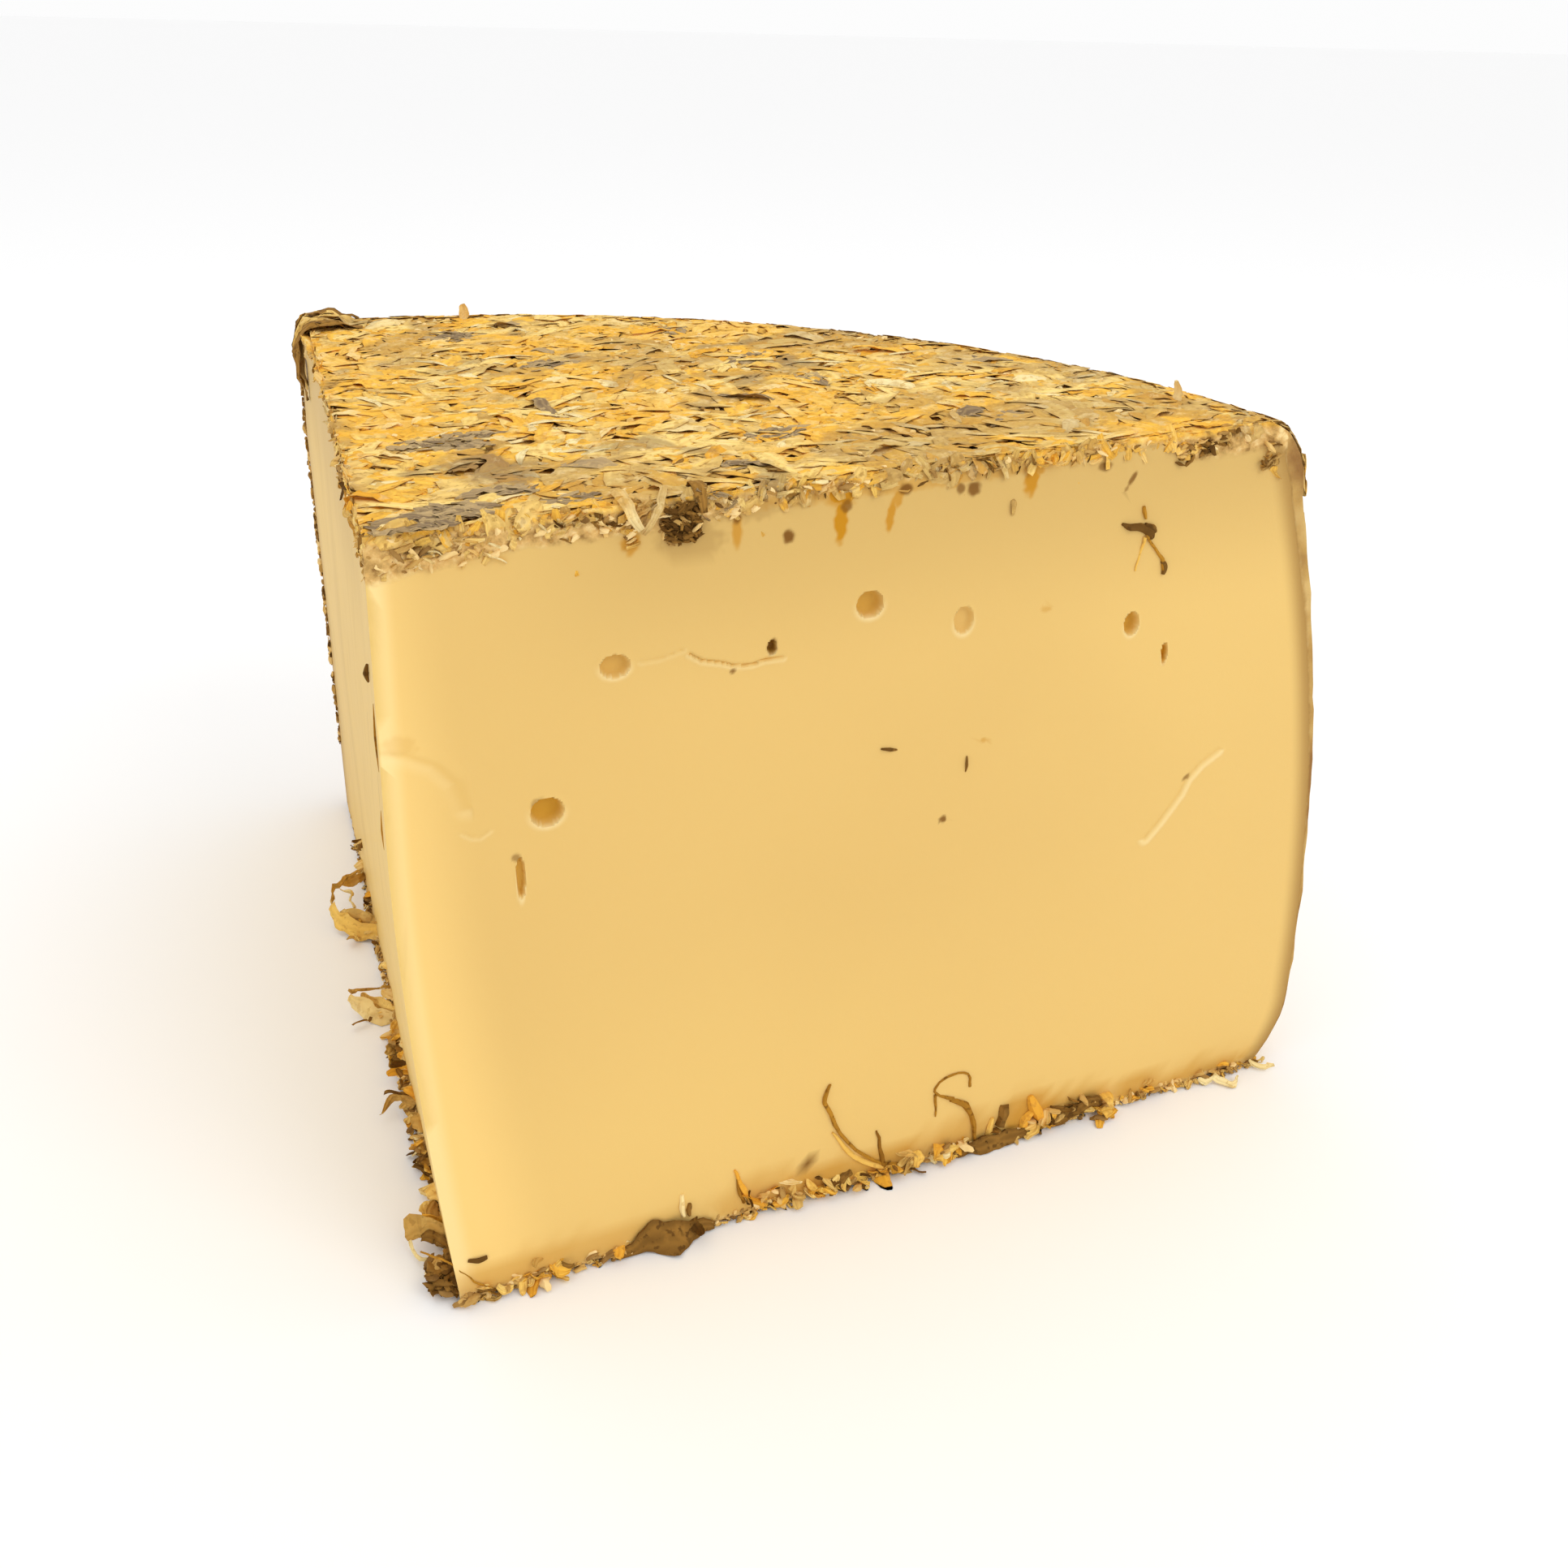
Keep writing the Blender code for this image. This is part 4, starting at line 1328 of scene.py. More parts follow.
def edge_petals(note):
    """The curls over the front top edge, the corner flap and the tufts of the far edge."""
    for along, length, width, turn in EDGE_CURLS:
        height = top_height(along * MM / BELLY_RADIUS, 0)
        start = front_surface(along * MM, height) - FRONT_OUT * 4 * MM
        note("edge_curl", start, FRONT_OUT + UP * 0.55, FRONT_ALONG, length, width, turn)
    corner = left_surface(CORNER_FLAP_ALONG, top_height(0.9, SECTOR_ANGLE) - MM) - LEFT_OUT * 9 * MM
    note("corner_flap", corner, LEFT_OUT + UP * 0.35, LEFT_ALONG, 20, 9, CORNER_FLAP_TURN)
    for share, angle_part in FAR_TUFTS:
        angle = SECTOR_ANGLE * angle_part
        outward_way = bearing(angle)
        start = outward_way * TOP_RADIUS * share + UP * (top_height(share, angle) - 0.6 * MM)
        note("tuft", start, outward_way * 0.5 + UP, outward_way.cross(UP), 5, 2.2, 1.2)


def top_petals(draw, note):
    for row in range(TOP_PETAL_ROWS):
        share = (row + 0.6) / TOP_PETAL_ROWS
        in_row = 2 + 2 * row
        for step in range(in_row):
            angle = SECTOR_ANGLE * (step + draw.uniform(0.25, 0.75)) / in_row
            start = bearing(angle) * TOP_RADIUS * share
            start.z = top_height(share, angle) - 0.2 * MM
            way = draw.uniform(0, 2 * math.pi)
            heading = Vector((math.cos(way), math.sin(way), 0.30))
            across = Vector((-math.sin(way), math.cos(way), 0))
            note("top", start, heading, across, (6, 10), (2.4, 4.0), (0.5, 1.0))


def dragged_petals(draw, note):
    """Petals that the knife dragged down: their face, how many, the first place, the gap, their turn."""
    for face, count, first, gap, turn in (("front", 12, 12, 8.3, (-0.1, 0.1)), ("left", 9, 14, 11, 0)):
        surface, outward_way, face_along, angle = FACES[face]
        for step in range(count):
            along = (first + step * gap + draw.uniform(-2, 2)) * MM
            height = top_height(along / BELLY_RADIUS, angle) - draw.uniform(1.5, 3) * MM
            start = surface(along, height) + outward_way * 0.1 * MM
            heading = outward_way * 0.05 + face_along * draw.uniform(-0.35, 0.35) - UP
            note(f"{face}_dragged", start, heading, face_along, (3.5, 6), (1.6, 2.6), turn)


def loose_petals():
    """Kind, start, heading, across, length, width and turn of the petals fused to the solid."""
    draw = random.Random(SEED)
    petals = []

    def note(kind, start, heading, across, *sizes):
        """Length, width and turn are numbers, or ranges to draw from."""
        length, width, turn = [draw.uniform(*size) if isinstance(size, tuple) else size for size in sizes]
        petals.append((kind, start, heading, across, length * MM, width * MM, turn))

    foot_petals(draw, note)
    edge_petals(note)
    top_petals(draw, note)
    dragged_petals(draw, note)
    return petals


# How those petals are drawn here: colours by turn, share of the solid's width and length, crumple
# and how deep they are sunk, both in mm. Sunk ones have no tint of their own.
LOOSE_LOOKS = {
    "front_foot": ("yellow tan orange brown straw", 0.6, 0.6, 0.5, 0),
    "left_foot": ("straw yellow tan orange straw", 0.85, 0.5, 0.5, 0),
    "rim_foot": ("yellow straw brown", 0.85, 1, 0.5, 0),
    "edge_curl": ("straw straw brown tan", 0.5, 0.7, 0.5, 0),
    "corner_flap": ("brown", 0.85, 0.7, 1.2, 0),
    "tuft": ("straw", 0.85, 0.75, 0.5, 0),
    "top": ("yellow orange straw grey orange straw", 0.8, 1, 0.5, 0),
    "front_dragged": ("tan orange tan", 0.4, 1, 0.5, 0.55),
    "left_dragged": ("tan brown tan", 0.45, 1, 0.5, 0.4),
}
# How far each edge curl swings sideways for each millimetre that it hangs.
EDGE_SWAY = (0.5, -0.8, 0.1, 0.0)


def keep_behind_cuts(point):
    """Move a point of a top petal back to the cut face that it has passed."""
    past_cut = max(point.dot(LEFT_OUT), point.dot(FRONT_OUT))
    if past_cut > 0:
        point -= (LEFT_OUT if point.dot(LEFT_OUT) == past_cut else FRONT_OUT) * past_cut


def add_loose_petals(heaps):
    draw = random.Random(SEED + 1)
    counts = {}
    for kind, start, heading, across, length, width, turn in loose_petals():
        names, width_share, length_share, crumple, sink = LOOSE_LOOKS[kind]
        names = names.split()
        index = counts.get(kind, 0)
        counts[kind] = index + 1
        start = start - (FRONT_OUT if kind == "front_dragged" else LEFT_OUT) * (sink * MM)
        path = curl_path(start, heading.normalized(), across, length * length_share, turn)
        for point in path:
            point.z = max(point.z, FLOOR_GAP + PETAL_THICK)
            if kind == "edge_curl":
                point.x += EDGE_SWAY[index] * (path[1].z - point.z)
            if kind == "top":
                keep_behind_cuts(point)
        leaf = curl_leaf(path, across, width * width_share, LOOSE_THICK, draw)
        tint = 0.5 if sink else draw.random()
        heaps[names[index % len(names)]].add(leaf, tint, crumple * MM)


# Stalks, stains and heaps of bits, at the places where the cheese has them.

# Stalks lying on the front face: kind, places along and up, radius at each place, tint 0 to 1.
FACE_STALKS = (
    ("stem", ((67.5, 0.9), (63, 2.6), (59.6, 5.4), (56.6, 9.4), (54.9, 13.6), (54.2, 15.6),
              (55, 17.8)), (0.3, 0.28, 0.24, 0.24, 0.3, 0.42, 0.2), 0.75),
    ("yellow", ((68.5, 0.8), (62.6, 2.2), (58.4, 5.4), (55.6, 10)), (0.3, 0.4, 0.35, 0.15), 0.2),
    ("stem", ((63.6, 1.9), (63, 4.6), (62.2, 8.2)), (0.4, 0.32, 0.12), 0.35),
    ("stem", ((78, 1.8), (77.6, 5.2), (76.2, 8.2), (73.6, 9.9)), (0.3, 0.42, 0.5, 0.25), 0.6),
    ("stem", ((74.2, 9.9), (71.8, 11.2), (71, 12.4), (72.8, 13.8), (75, 14.1), (76.6, 13),
              (76.9, 11.3)), (0.28, 0.22, 0.18, 0.16, 0.16, 0.2, 0.24), 0.6),
    ("stem", ((71.3, 11.4), (71.4, 9.6), (71.3, 7.8)), (0.35, 0.22, 0.1), 0.6),
    ("orange", ((41.2, 8.2), (42.4, 5.4), (43.6, 2.8), (45.4, 1)), (0.15, 0.4, 0.4, 0.35), 0.3),
    ("stem", ((41.6, 7), (42, 4.8), (42.6, 2.6)), (0.1, 0.25, 0.3), 0.5),
    ("brown", ((93.6, 92.5), (94.8, 92.1), (96.4, 91.9), (97.8, 91.2), (98.4, 90.2)),
     (0.15, 0.45, 0.6, 0.75, 0.3), 0.35),
    ("brown", ((97.2, 92.3), (98.2, 91.8), (98.8, 91)), (0.25, 0.45, 0.25), 0.2),
    ("stem", ((97.4, 90.8), (98.9, 88.8), (100.2, 87.4), (100.7, 85.6)), (0.22, 0.2, 0.26, 0.3), 0.85),
    ("brown", ((100.3, 86.9), (100.8, 86), (100.6, 85)), (0.25, 0.42, 0.25), 0.5),
    ("yellow", ((97.2, 90.4), (96.8, 88.2), (96.4, 85.8)), (0.25, 0.16, 0.1), 0.1),
    ("stem", ((96.7, 94.6), (96.9, 93.8), (97.2, 93)), (0.2, 0.35, 0.2), 0.7),
    ("stem", ((0.2, 9.6), (4, 5.9), (6.6, 2.9), (9, 1)), (0.12, 0.13, 0.13, 0.16), 0.7),
    ("straw", ((34, 6.8), (33.9, 5), (34.1, 3.4)), (0.3, 0.42, 0.3), 0.7),
    ("brown", ((34.9, 5.2), (34.8, 4.2), (34.9, 3.2)), (0.2, 0.35, 0.2), 0.8),
    ("brown", ((82.2, 3), (82.6, 4.6), (82.9, 6.2)), (0.9, 0.8, 0.7), 0.5),
    ("yellow", ((80.4, 1.6), (80.6, 3.2), (80.8, 4.6)), (0.5, 0.5, 0.2), 0.3),
    ("orange", ((89.8, 1), (88.6, 3), (87.4, 5.4), (87, 6.6)), (0.8, 1, 0.8, 0.3), 0.3),
    ("orange", ((86, 1), (86.4, 2.6), (87.6, 4)), (0.6, 0.7, 0.4), 0.5),
    ("brown", ((60.9, 66), (62.1, 65.7), (63.1, 65.6)), (0.1, 0.25, 0.1), 0.3),
    ("brown", ((73.3, 62.9), (73.2, 61.8), (73.1, 60.9)), (0.08, 0.2, 0.1), 0.5),
    ("brown", ((5.9, 6.3), (7.1, 6.1), (8.2, 6.1)), (0.2, 0.34, 0.26), 0.25),
)

# Stains in the paste of the front face, with a few marks of painted shade: colour, along, height, width,
# tallness, lean in degrees, strength. Wide faint ones darken the foot and the paste under the rind; under
# the rind this is partly painted shade.
STAINS_AND_SHADE = (
    ("orange", 54.5, 96.6, 1.7, 5.4, 0, 0.85), ("orange", 53.4, 100.2, 1.4, 4, 35, 0.85),
    ("orange", 55.6, 99.8, 1.4, 3.6, -35, 0.85), ("brown", 55.2, 98.5, 1.5, 1.6, 0, 0.75),
    ("orange", 54.5, 99.4, 4.2, 2.6, 0, 0.5), ("orange", 61, 96.8, 1.1, 4.4, -10, 0.7),
    ("orange", 61.9, 98.8, 1.5, 2.6, -25, 0.6), ("brown", 62.7, 99.9, 1.9, 1.7, 0, 0.95),
    ("brown", 70.3, 99.2, 1.2, 1.5, 0, 0.8), ("brown", 72.1, 99, 1.9, 1.9, 0, 0.9),
    ("orange", 69, 100.8, 3.4, 2.4, 0, 0.75), ("orange", 80.1, 99.6, 2, 4.6, -8, 0.75),
    ("orange", 80.6, 101.2, 2.8, 2.2, 0, 0.6), ("brown", 41.5, 98.4, 1.2, 1.7, 0, 0.9),
    ("orange", 41.6, 96.6, 1.3, 4.2, 0, 0.6), ("brown", 47.9, 95.4, 1.5, 1.9, 10, 0.95),
    ("brown", 90.4, 100.4, 2, 1.3, 0, 0.75), ("brown", 94.6, 98.5, 0.7, 1.9, -30, 0.85),
    ("brown", 93.9, 97.2, 0.5, 1, -30, 0.6), ("brown", 70.2, 54.5, 1, 1, 0, 0.9),
    ("brown", 46, 81.9, 1.3, 2.1, -10, 0.9), ("brown", 41, 79.5, 0.9, 0.7, 0, 0.8),
    ("orange", 102.3, 73.4, 0.8, 3, 0, 0.7), ("orange", 28.9, 96.6, 2.2, 2.8, 0, 0.6),
    ("brown", 14.4, 60.1, 1.3, 1.1, 0, 0.6), ("brown", 17, 66.6, 1.6, 1, 30, 0.45),
    ("brown", 108.4, 53.8, 1.5, 0.8, 30, 0.7), ("orange", 75.6, 64.9, 1, 0.7, 0, 0.4),
    ("brown", 73, 93.2, 0.8, 0.7, 0, 0.6), ("orange", 83.6, 82, 1.6, 0.8, 0, 0.3),
    ("brown", 52, 5.8, 1.2, 1.2, 0, 0.95), ("orange", 12, 3, 18, 5, 5, 0.35),
    ("orange", 24, 2.6, 22, 5, 0, 0.28), ("orange", 45, 3, 14, 7, 0, 0.3),
    ("orange", 55, 2.6, 16, 5.5, 0, 0.5), ("orange", 64, 2.4, 14, 5, 0, 0.45),
    ("brown", 68, 2, 12, 3, 0, 0.2), ("orange", 76, 3, 12, 8, 0, 0.35),
    ("orange", 87, 3.6, 9, 9, 0, 0.6), ("orange", 95, 3, 12, 6, 0, 0.4),
    ("orange", 106, 2.4, 10, 5, 0, 0.45), ("orange", 118, 2, 16, 4, 0, 0.4),
    ("orange", 60, 100.6, 50, 2.4, 2, 0.35), ("brown", 103, 101.6, 3.6, 2.2, 0, 0.5),
    # The two wide faint brown marks are partly painted shade under the overhanging rind, partly drier
    # paste.
    ("brown", 43, 99.2, 8, 3, 0, 0.25), ("brown", 36, 96, 8, 5, 0, 0.25),
    # This faint orange mark is a painted shadow above the knife step.
    ("orange", 2.2, 76, 3.6, 2.4, -12, 0.15),
)


def face_path(places, skin):
    """Places on the front face, set on the uneven paste itself."""
    path = []
    for along, height in places:
        from_front = Vector((along * MM, -30 * MM, height * MM)) + TIP
        hit = skin.ray_cast(from_front, -FRONT_OUT)[0]
        point = hit - TIP if hit else front_surface(along * MM, height * MM)
        path.append(point + FRONT_OUT * 0.1 * MM)
    return path


def add_face_stalks(heaps, body):
    skin = search_tree(body.data)
    for kind, places, radii, tint in FACE_STALKS:
        parts = stalk_parts(face_path(places, skin), [radius * MM for radius in radii])
        heaps[kind].add(parts, tint, 0.25 * MM)


# The corner roll seen along the edge: out past the left face and up from the top, in mm.
FLAP_PATH = ((-9, 0.2), (-5, 1.6), (-1.5, 1.8), (1.8, 0.4), (3.0, -3.6), (2.8, -8.0), (1.6, -12.5))
FLAP_LEAVES = "brown brown tan brown yellow tan brown straw tan brown yellow tan brown tan brown tan"
LONG_FLAP_LEAVES = 4


def add_corner_flap(heaps):
    """The roll of rind that has come up at the far left corner and hangs over the face."""
    draw = random.Random(SEED + 6)
    crest = top_height(0.9, SECTOR_ANGLE)
    for index, name in enumerate(FLAP_LEAVES.split()):
        along = CORNER_FLAP_ALONG + draw.uniform(-5, 4) * MM
        first, last = 0, len(FLAP_PATH)
        if index >= LONG_FLAP_LEAVES:
            first = draw.choice((0, 0, 1))
            last = draw.choice((4, 4, 5))
        close = draw.uniform(0.75, 1.0)
        path = []
        for out, up in FLAP_PATH[first:last]:
            point = left_surface(along, crest + (up * close + draw.uniform(-0.3, 0.3)) * MM)
            path.append(point + LEFT_OUT * out * close * MM)
            along += draw.uniform(-0.8, 0.8) * MM
        leaf = curl_leaf(path, LEFT_ALONG, draw.uniform(2.4, 4.4) * MM, SHEET_THICK, draw)
        heaps[name].add(leaf, draw.random(), 0.9 * MM)


# Heaps of torn petals at the foot and along the top edge: face, along, half length, height,
# half height, how far out, count of bits, leaf length, kinds by turn; all sizes in mm.
CLUMPS = (
    ("left", 97, 1.4, 9, 1.2, 1.4, 7, 2.6, "brown tan crumb"),
    ("left", 88, 2, 3, 2, 1.2, 7, 3, "tan brown straw crumb"),
    ("left", 81, 2.4, 1.6, 1, 4, 9, 3.6, "yellow tan tan"),
    ("left", 70, 1.2, 0.9, 0.5, 1, 4, 2.2, "tan straw brown"),
    ("left", 58.5, 2, 1.6, 1.2, 2.6, 8, 3.4, "straw yellow tan crumb"),
    ("left", 51, 2.4, 1.8, 1.3, 2, 14, 3.6, "yellow orange tan brown crumb"),
    ("left", 44, 2.6, 1.6, 1.2, 2.2, 12, 4, "brown orange yellow crumb"),
    ("left", 37, 1.2, 1.4, 0.9, 1.4, 6, 3, "brown tan crumb"),
    ("left", 31, 2.6, 1.2, 0.9, 1, 9, 3.4, "tan straw tan orange"),
    ("left", 24.5, 2.6, 1.4, 1, 2, 16, 3.4, "brown yellow orange tan crumb"),
    ("left", 16.5, 2.2, 1, 0.8, 1.2, 9, 3, "straw brown tan crumb"),
    ("left", 11, 1.6, 2.4, 1, 2.4, 9, 3.2, "yellow orange tan"),
    ("left", 3.4, 2.2, 1.6, 1.4, 3, 130, 2.2, "dark dark crumb dark dark"),
    ("left", 58, 55, 0.7, 0.5, 0.9, 240, 1.5, "crumb crumb tan dark crumb straw"),
    ("left", 36, 12, 1.1, 0.8, 1.6, 60, 1.9, "crumb tan dark straw"),
    ("front", 68, 62, 0.6, 0.4, 0.5, 420, 1.4, "yellow crumb orange crumb yellow tan"),
    ("front", 6.2, 1.8, 0.6, 0.4, 0.6, 46, 1.5, "yellow tan crumb yellow"),
    ("front", 14.5, 3.2, 1.3, 0.9, 0.9, 50, 2.2, "orange yellow yellow crumb"),
    ("front", 8, 3, 0.9, 0.6, 1.2, 16, 3, "tan brown crumb yellow"),
    ("front", 14, 3.6, 1.2, 1, 1.6, 22, 3.6, "orange yellow crumb brown"),
    ("front", 22, 4.5, 1, 0.8, 0.7, 16, 2.8, "straw crumb tan"),
    ("front", 45.5, 2.6, 2, 1.6, 0.9, 18, 3.2, "orange crumb yellow brown"),
    ("front", 52, 3.2, 2, 1.2, 1, 18, 4, "orange yellow brown tan"),
    ("front", 58, 2.6, 1.6, 1.2, 1.8, 20, 3.6, "yellow crumb yellow brown"),
    ("front", 66, 4, 1.2, 0.9, 1.6, 16, 4.6, "yellow brown orange tan"),
    ("front", 73.5, 2.8, 1.6, 1.1, 1.6, 18, 3.6, "yellow straw crumb orange"),
    ("front", 82, 5.6, 0.8, 0.5, 1.2, 20, 2.6, "brown crumb brown yellow"),
    ("front", 89, 3, 1.6, 1.2, 1.2, 16, 3.6, "orange yellow brown crumb"),
    ("front", 94, 3.6, 2.6, 1.2, 1, 20, 3.6, "brown brown tan brown crumb"),
    ("front", 99, 2.2, 1.2, 1, 2.6, 18, 3.4, "orange yellow crumb orange"),
    ("front", 106.5, 2.4, 1.2, 0.7, 0.6, 12, 2.4, "orange brown tan"),
    ("front", 114, 4, 1, 0.6, 0.5, 16, 2.2, "yellow crumb tan crumb"),
    ("front", 124, 4, 0.9, 0.5, 0.5, 14, 2, "tan crumb yellow crumb"),
    ("front", 34.8, 2, 98.4, 2.2, 0.9, 110, 1.6, "dark dark dark brown dark crumb"),
    ("front", 28.9, 1.1, 96.9, 1.1, 0.4, 10, 1.8, "orange yellow crumb"),
    ("front", 39.2, 2.2, 100.3, 1.2, 0.4, 16, 2.2, "grey crumb tan grey"),
    ("front", 52, 4, 101, 0.9, 0.5, 16, 2.4, "straw crumb tan"),
    ("front", 102.3, 0.9, 101.2, 1.4, 0.4, 14, 1.8, "dark crumb tan"),
    ("front", 105.3, 1, 102, 1.2, 0.5, 22, 1.8, "dark dark tan crumb"),
    ("front", 108.4, 1.4, 102.8, 0.9, 0.4, 16, 1.8, "dark tan crumb"),
    ("front", 115.6, 1.2, 99.6, 2.2, 0.5, 20, 2, "tan crumb orange brown"),
    ("front", 24, 8, 99.6, 0.9, 0.4, 26, 2.6, "tan crumb brown straw"),
    ("front", 8, 6, 97.4, 1.4, 0.4, 26, 2.2, "straw crumb tan"),
    ("front", 78, 12, 102, 0.7, 0.4, 30, 2.4, "tan straw brown crumb orange"),
    ("left", 112, 3, 99, 2.2, 1.2, 20, 3.2, "brown tan crumb yellow"),
    ("left", 104, 3, 92, 2.2, 0.8, 9, 2.8, "brown grey"),
    ("left", 60, 40, 100, 0.9, 0.6, 50, 2.8, "yellow tan straw brown crumb"),
    ("left", 20, 14, 99, 0.9, 0.6, 22, 2.6, "tan orange brown crumb"),
)


# Leaves and stalks drawn one by one: face, shape, kind, width, tint 0 to 1, and places along, out
# and up, all in mm.
ODD_LEAVES = (
    ("left", "leaf", "yellow", 3.6, 0.3, ((79, -0.6, 1.2), (81, 3, 1.8), (83.6, 6, 2.8), (86, 7, 4.2))),
    ("left", "leaf", "tan", 3, 0.6, ((81, -0.5, 2.4), (83, 2.8, 3), (84.6, 5.6, 4))),
    ("left", "leaf", "brown", 1, 0.9, ((85, 5, 2.2), (84.4, 3.6, 2.6), (84, 2, 2.4))),
    ("left", "leaf", "tan", 1.1, 0.4,
     ((86, 6.9, 4), (89.5, 6.2, 4.8), (92.8, 4.2, 4.8), (96.6, 0.6, 3.8))),
    ("left", "leaf", "tan", 2, 0.3, ((97.5, -0.4, 2.4), (95.4, 2.2, 3), (92.5, 4.4, 4.2))),
    ("left", "leaf", "straw", 0.8, 0.5, ((85, 3, 3.6), (88, 3.2, 4.6), (90.5, 5, 4.8))),
    ("left", "leaf", "straw", 3.4, 0.3,
     ((55.6, -0.5, 1), (57.4, 3, 1.4), (59.4, 5, 2.4), (60.8, 6.6, 3.6))),
    ("left", "leaf", "yellow", 2.6, 0.6, ((56.6, -0.4, 2.2), (58.8, 2.8, 2.6), (60.6, 4.8, 3.2))),
    ("left", "leaf", "tan", 0.8, 0.4, ((62.4, -0.2, 2.6), (61.8, 3.4, 3.4), (61.2, 6.9, 4.4))),
    ("left", "leaf", "brown", 0.6, 0.9, ((57.8, 3, 1), (57.4, 5.4, 0.9), (57, 7.2, 1))),
    ("left", "leaf", "tan", 1.3, 0.1,
     ((35, -0.3, 1.8), (36.2, 2.2, 2.6), (35.8, 4.2, 2.2), (34.8, 5.4, 1.4))),
    ("left", "leaf", "brown", 1, 0.6, ((36.4, -0.3, 2.2), (37, 2.2, 2.8), (37.8, 3.8, 2.8))),
    ("left", "leaf", "tan", 3, 0.1,
     ((8.6, -0.4, 2.4), (9.6, 1.8, 3.6), (10.2, 3.6, 3.7), (10.2, 5, 2.6))),
    ("left", "leaf", "orange", 2.2, 0.2, ((9.6, -0.4, 3.2), (10.4, 1.6, 4), (10.8, 3.2, 4))),
    ("left", "leaf", "brown", 2, 0.7, ((7.8, -0.4, 1.8), (8.8, 1.6, 2.6), (9.4, 3.4, 2.8))),
    ("left", "leaf", "straw", 0.9, 0.6, ((6.6, -0.2, 1.4), (7, 2, 0.7), (8, 3.8, 1), (9.2, 4.6, 2.4))),
    ("front", "leaf", "straw", 0.9, 0.8,
     ((117, 0.4, 0.9), (119.5, 1.8, 0.8), (122, 3.2, 0.6), (123.4, 2.4, 0.8))),
    ("front", "leaf", "straw", 0.9, 0.6, ((127, 0.2, 1.2), (129, 1.8, 0.8), (130.6, 2.6, 1.3))),
    ("left", "stalk", "brown", 0.7, 0.4, ((8, 0.1, 82.6), (8, 0.3, 81.5), (8, 0.1, 80.4))),
    ("left", "stalk", "stem", 0.3, 0.6, ((3, 0, 80), (3, 0.1, 76), (2.6, 0, 72))),
    ("left", "stalk", "stem", 0.26, 0.8, ((5, 0, 66), (5, 0.08, 63.5), (5, 0, 61))),
)

# Dark leaves lying at the front foot: the upper edge and the lower one, places along, out and up
# in mm.
DARK_SHEETS = (
    (((24.6, 0.4, 0.4), (26.6, 0.6, 2), (29.2, 0.7, 4.2), (32, 0.7, 3.7), (35, 0.7, 2.8),
      (38.2, 0.5, 1.4)),
     ((24.8, 0.7, 0.3), (27, 1, 0.3), (29.4, 1.4, 0.3), (32.4, 3.4, 0.3), (34.6, 1.6, 0.3),
      (38.4, 0.7, 0.6))),
    (((72, 0.4, 0.4), (75, 0.6, 1.2), (78.4, 0.6, 2.3), (81.6, 0.7, 2.2), (85, 0.6, 1.8), (89, 0.4, 1.4)),
     ((72.2, 0.6, 0.3), (75, 1, 0.3), (78.4, 1.5, 0.3), (81.6, 1.5, 0.3), (85, 1.2, 0.4),
      (89, 0.7, 0.8))),
    (((90.4, 0.4, 0.8), (92.6, 0.6, 2), (95, 0.7, 3.2), (97.2, 0.8, 4.2), (98.8, 0.7, 3.6),
      (99.4, 0.5, 2.6)),
     ((90.6, 0.7, 0.4), (92.8, 1.1, 0.8), (95.2, 1.2, 1.6), (97, 1.2, 2.5), (98.4, 1.1, 2.4),
      (99.4, 0.8, 2))),
)


def add_odd_leaves(heaps):
    draw = random.Random(SEED + 7)
    for face, shape, kind, width, tint, places in ODD_LEAVES:
        path = [beside(face, *place) for place in places]
        if shape == "stalk":
            half = width / 2 * MM
            heaps[kind].add(stalk_parts(path, [half * 0.4, half, half * 0.3]), tint)
        else:
            across = UP + Vector((0, 0.4, 0))
            heaps[kind].add(curl_leaf(path, across, width * MM, LOOSE_THICK, draw), tint, 0.9 * MM)


def sheet_parts(upper, lower, rows=5, columns=20):
    """A thin stiff leaf between two edges."""
    high = smooth_path([beside("front", *place) for place in upper], columns)
    low = smooth_path([beside("front", *place) for place in lower], columns)
    back = Vector((0, 0.8, -0.6)) * SHEET_THICK
    places = [(column, row / rows) for column in range(columns + 1) for row in range(rows + 1)]
    verts = [high[column].lerp(low[column], part) + back * depth
             for depth in (0, 1) for column, part in places]
    side = len(places)
    tall = rows + 1
    faces = []
    for column in range(columns):
        for row in range(rows):
            corner = column * tall + row
            quad = (corner, corner + 1, corner + tall + 1, corner + tall)
            faces.append(quad)
            faces.append(tuple(side + index for index in reversed(quad)))
    border = [column * tall for column in range(columns)]
    border += [columns * tall + row for row in range(rows)]
    border += [column * tall + rows for column in range(columns, 0, -1)]
    border += list(range(rows, 0, -1))
    for first, second in zip(border, border[1:] + border[:1]):
        faces.append((first, second, second + side, first + side))
    run = [column / columns for column, _ in places] * 2
    spread = [part * 2 - 1 for _, part in places] * 2
    return verts, faces, run, spread


def add_dark_sheets(heap):
    for upper, lower in DARK_SHEETS:
        heap.add(sheet_parts(upper, lower), 0.55, 0.5 * MM)


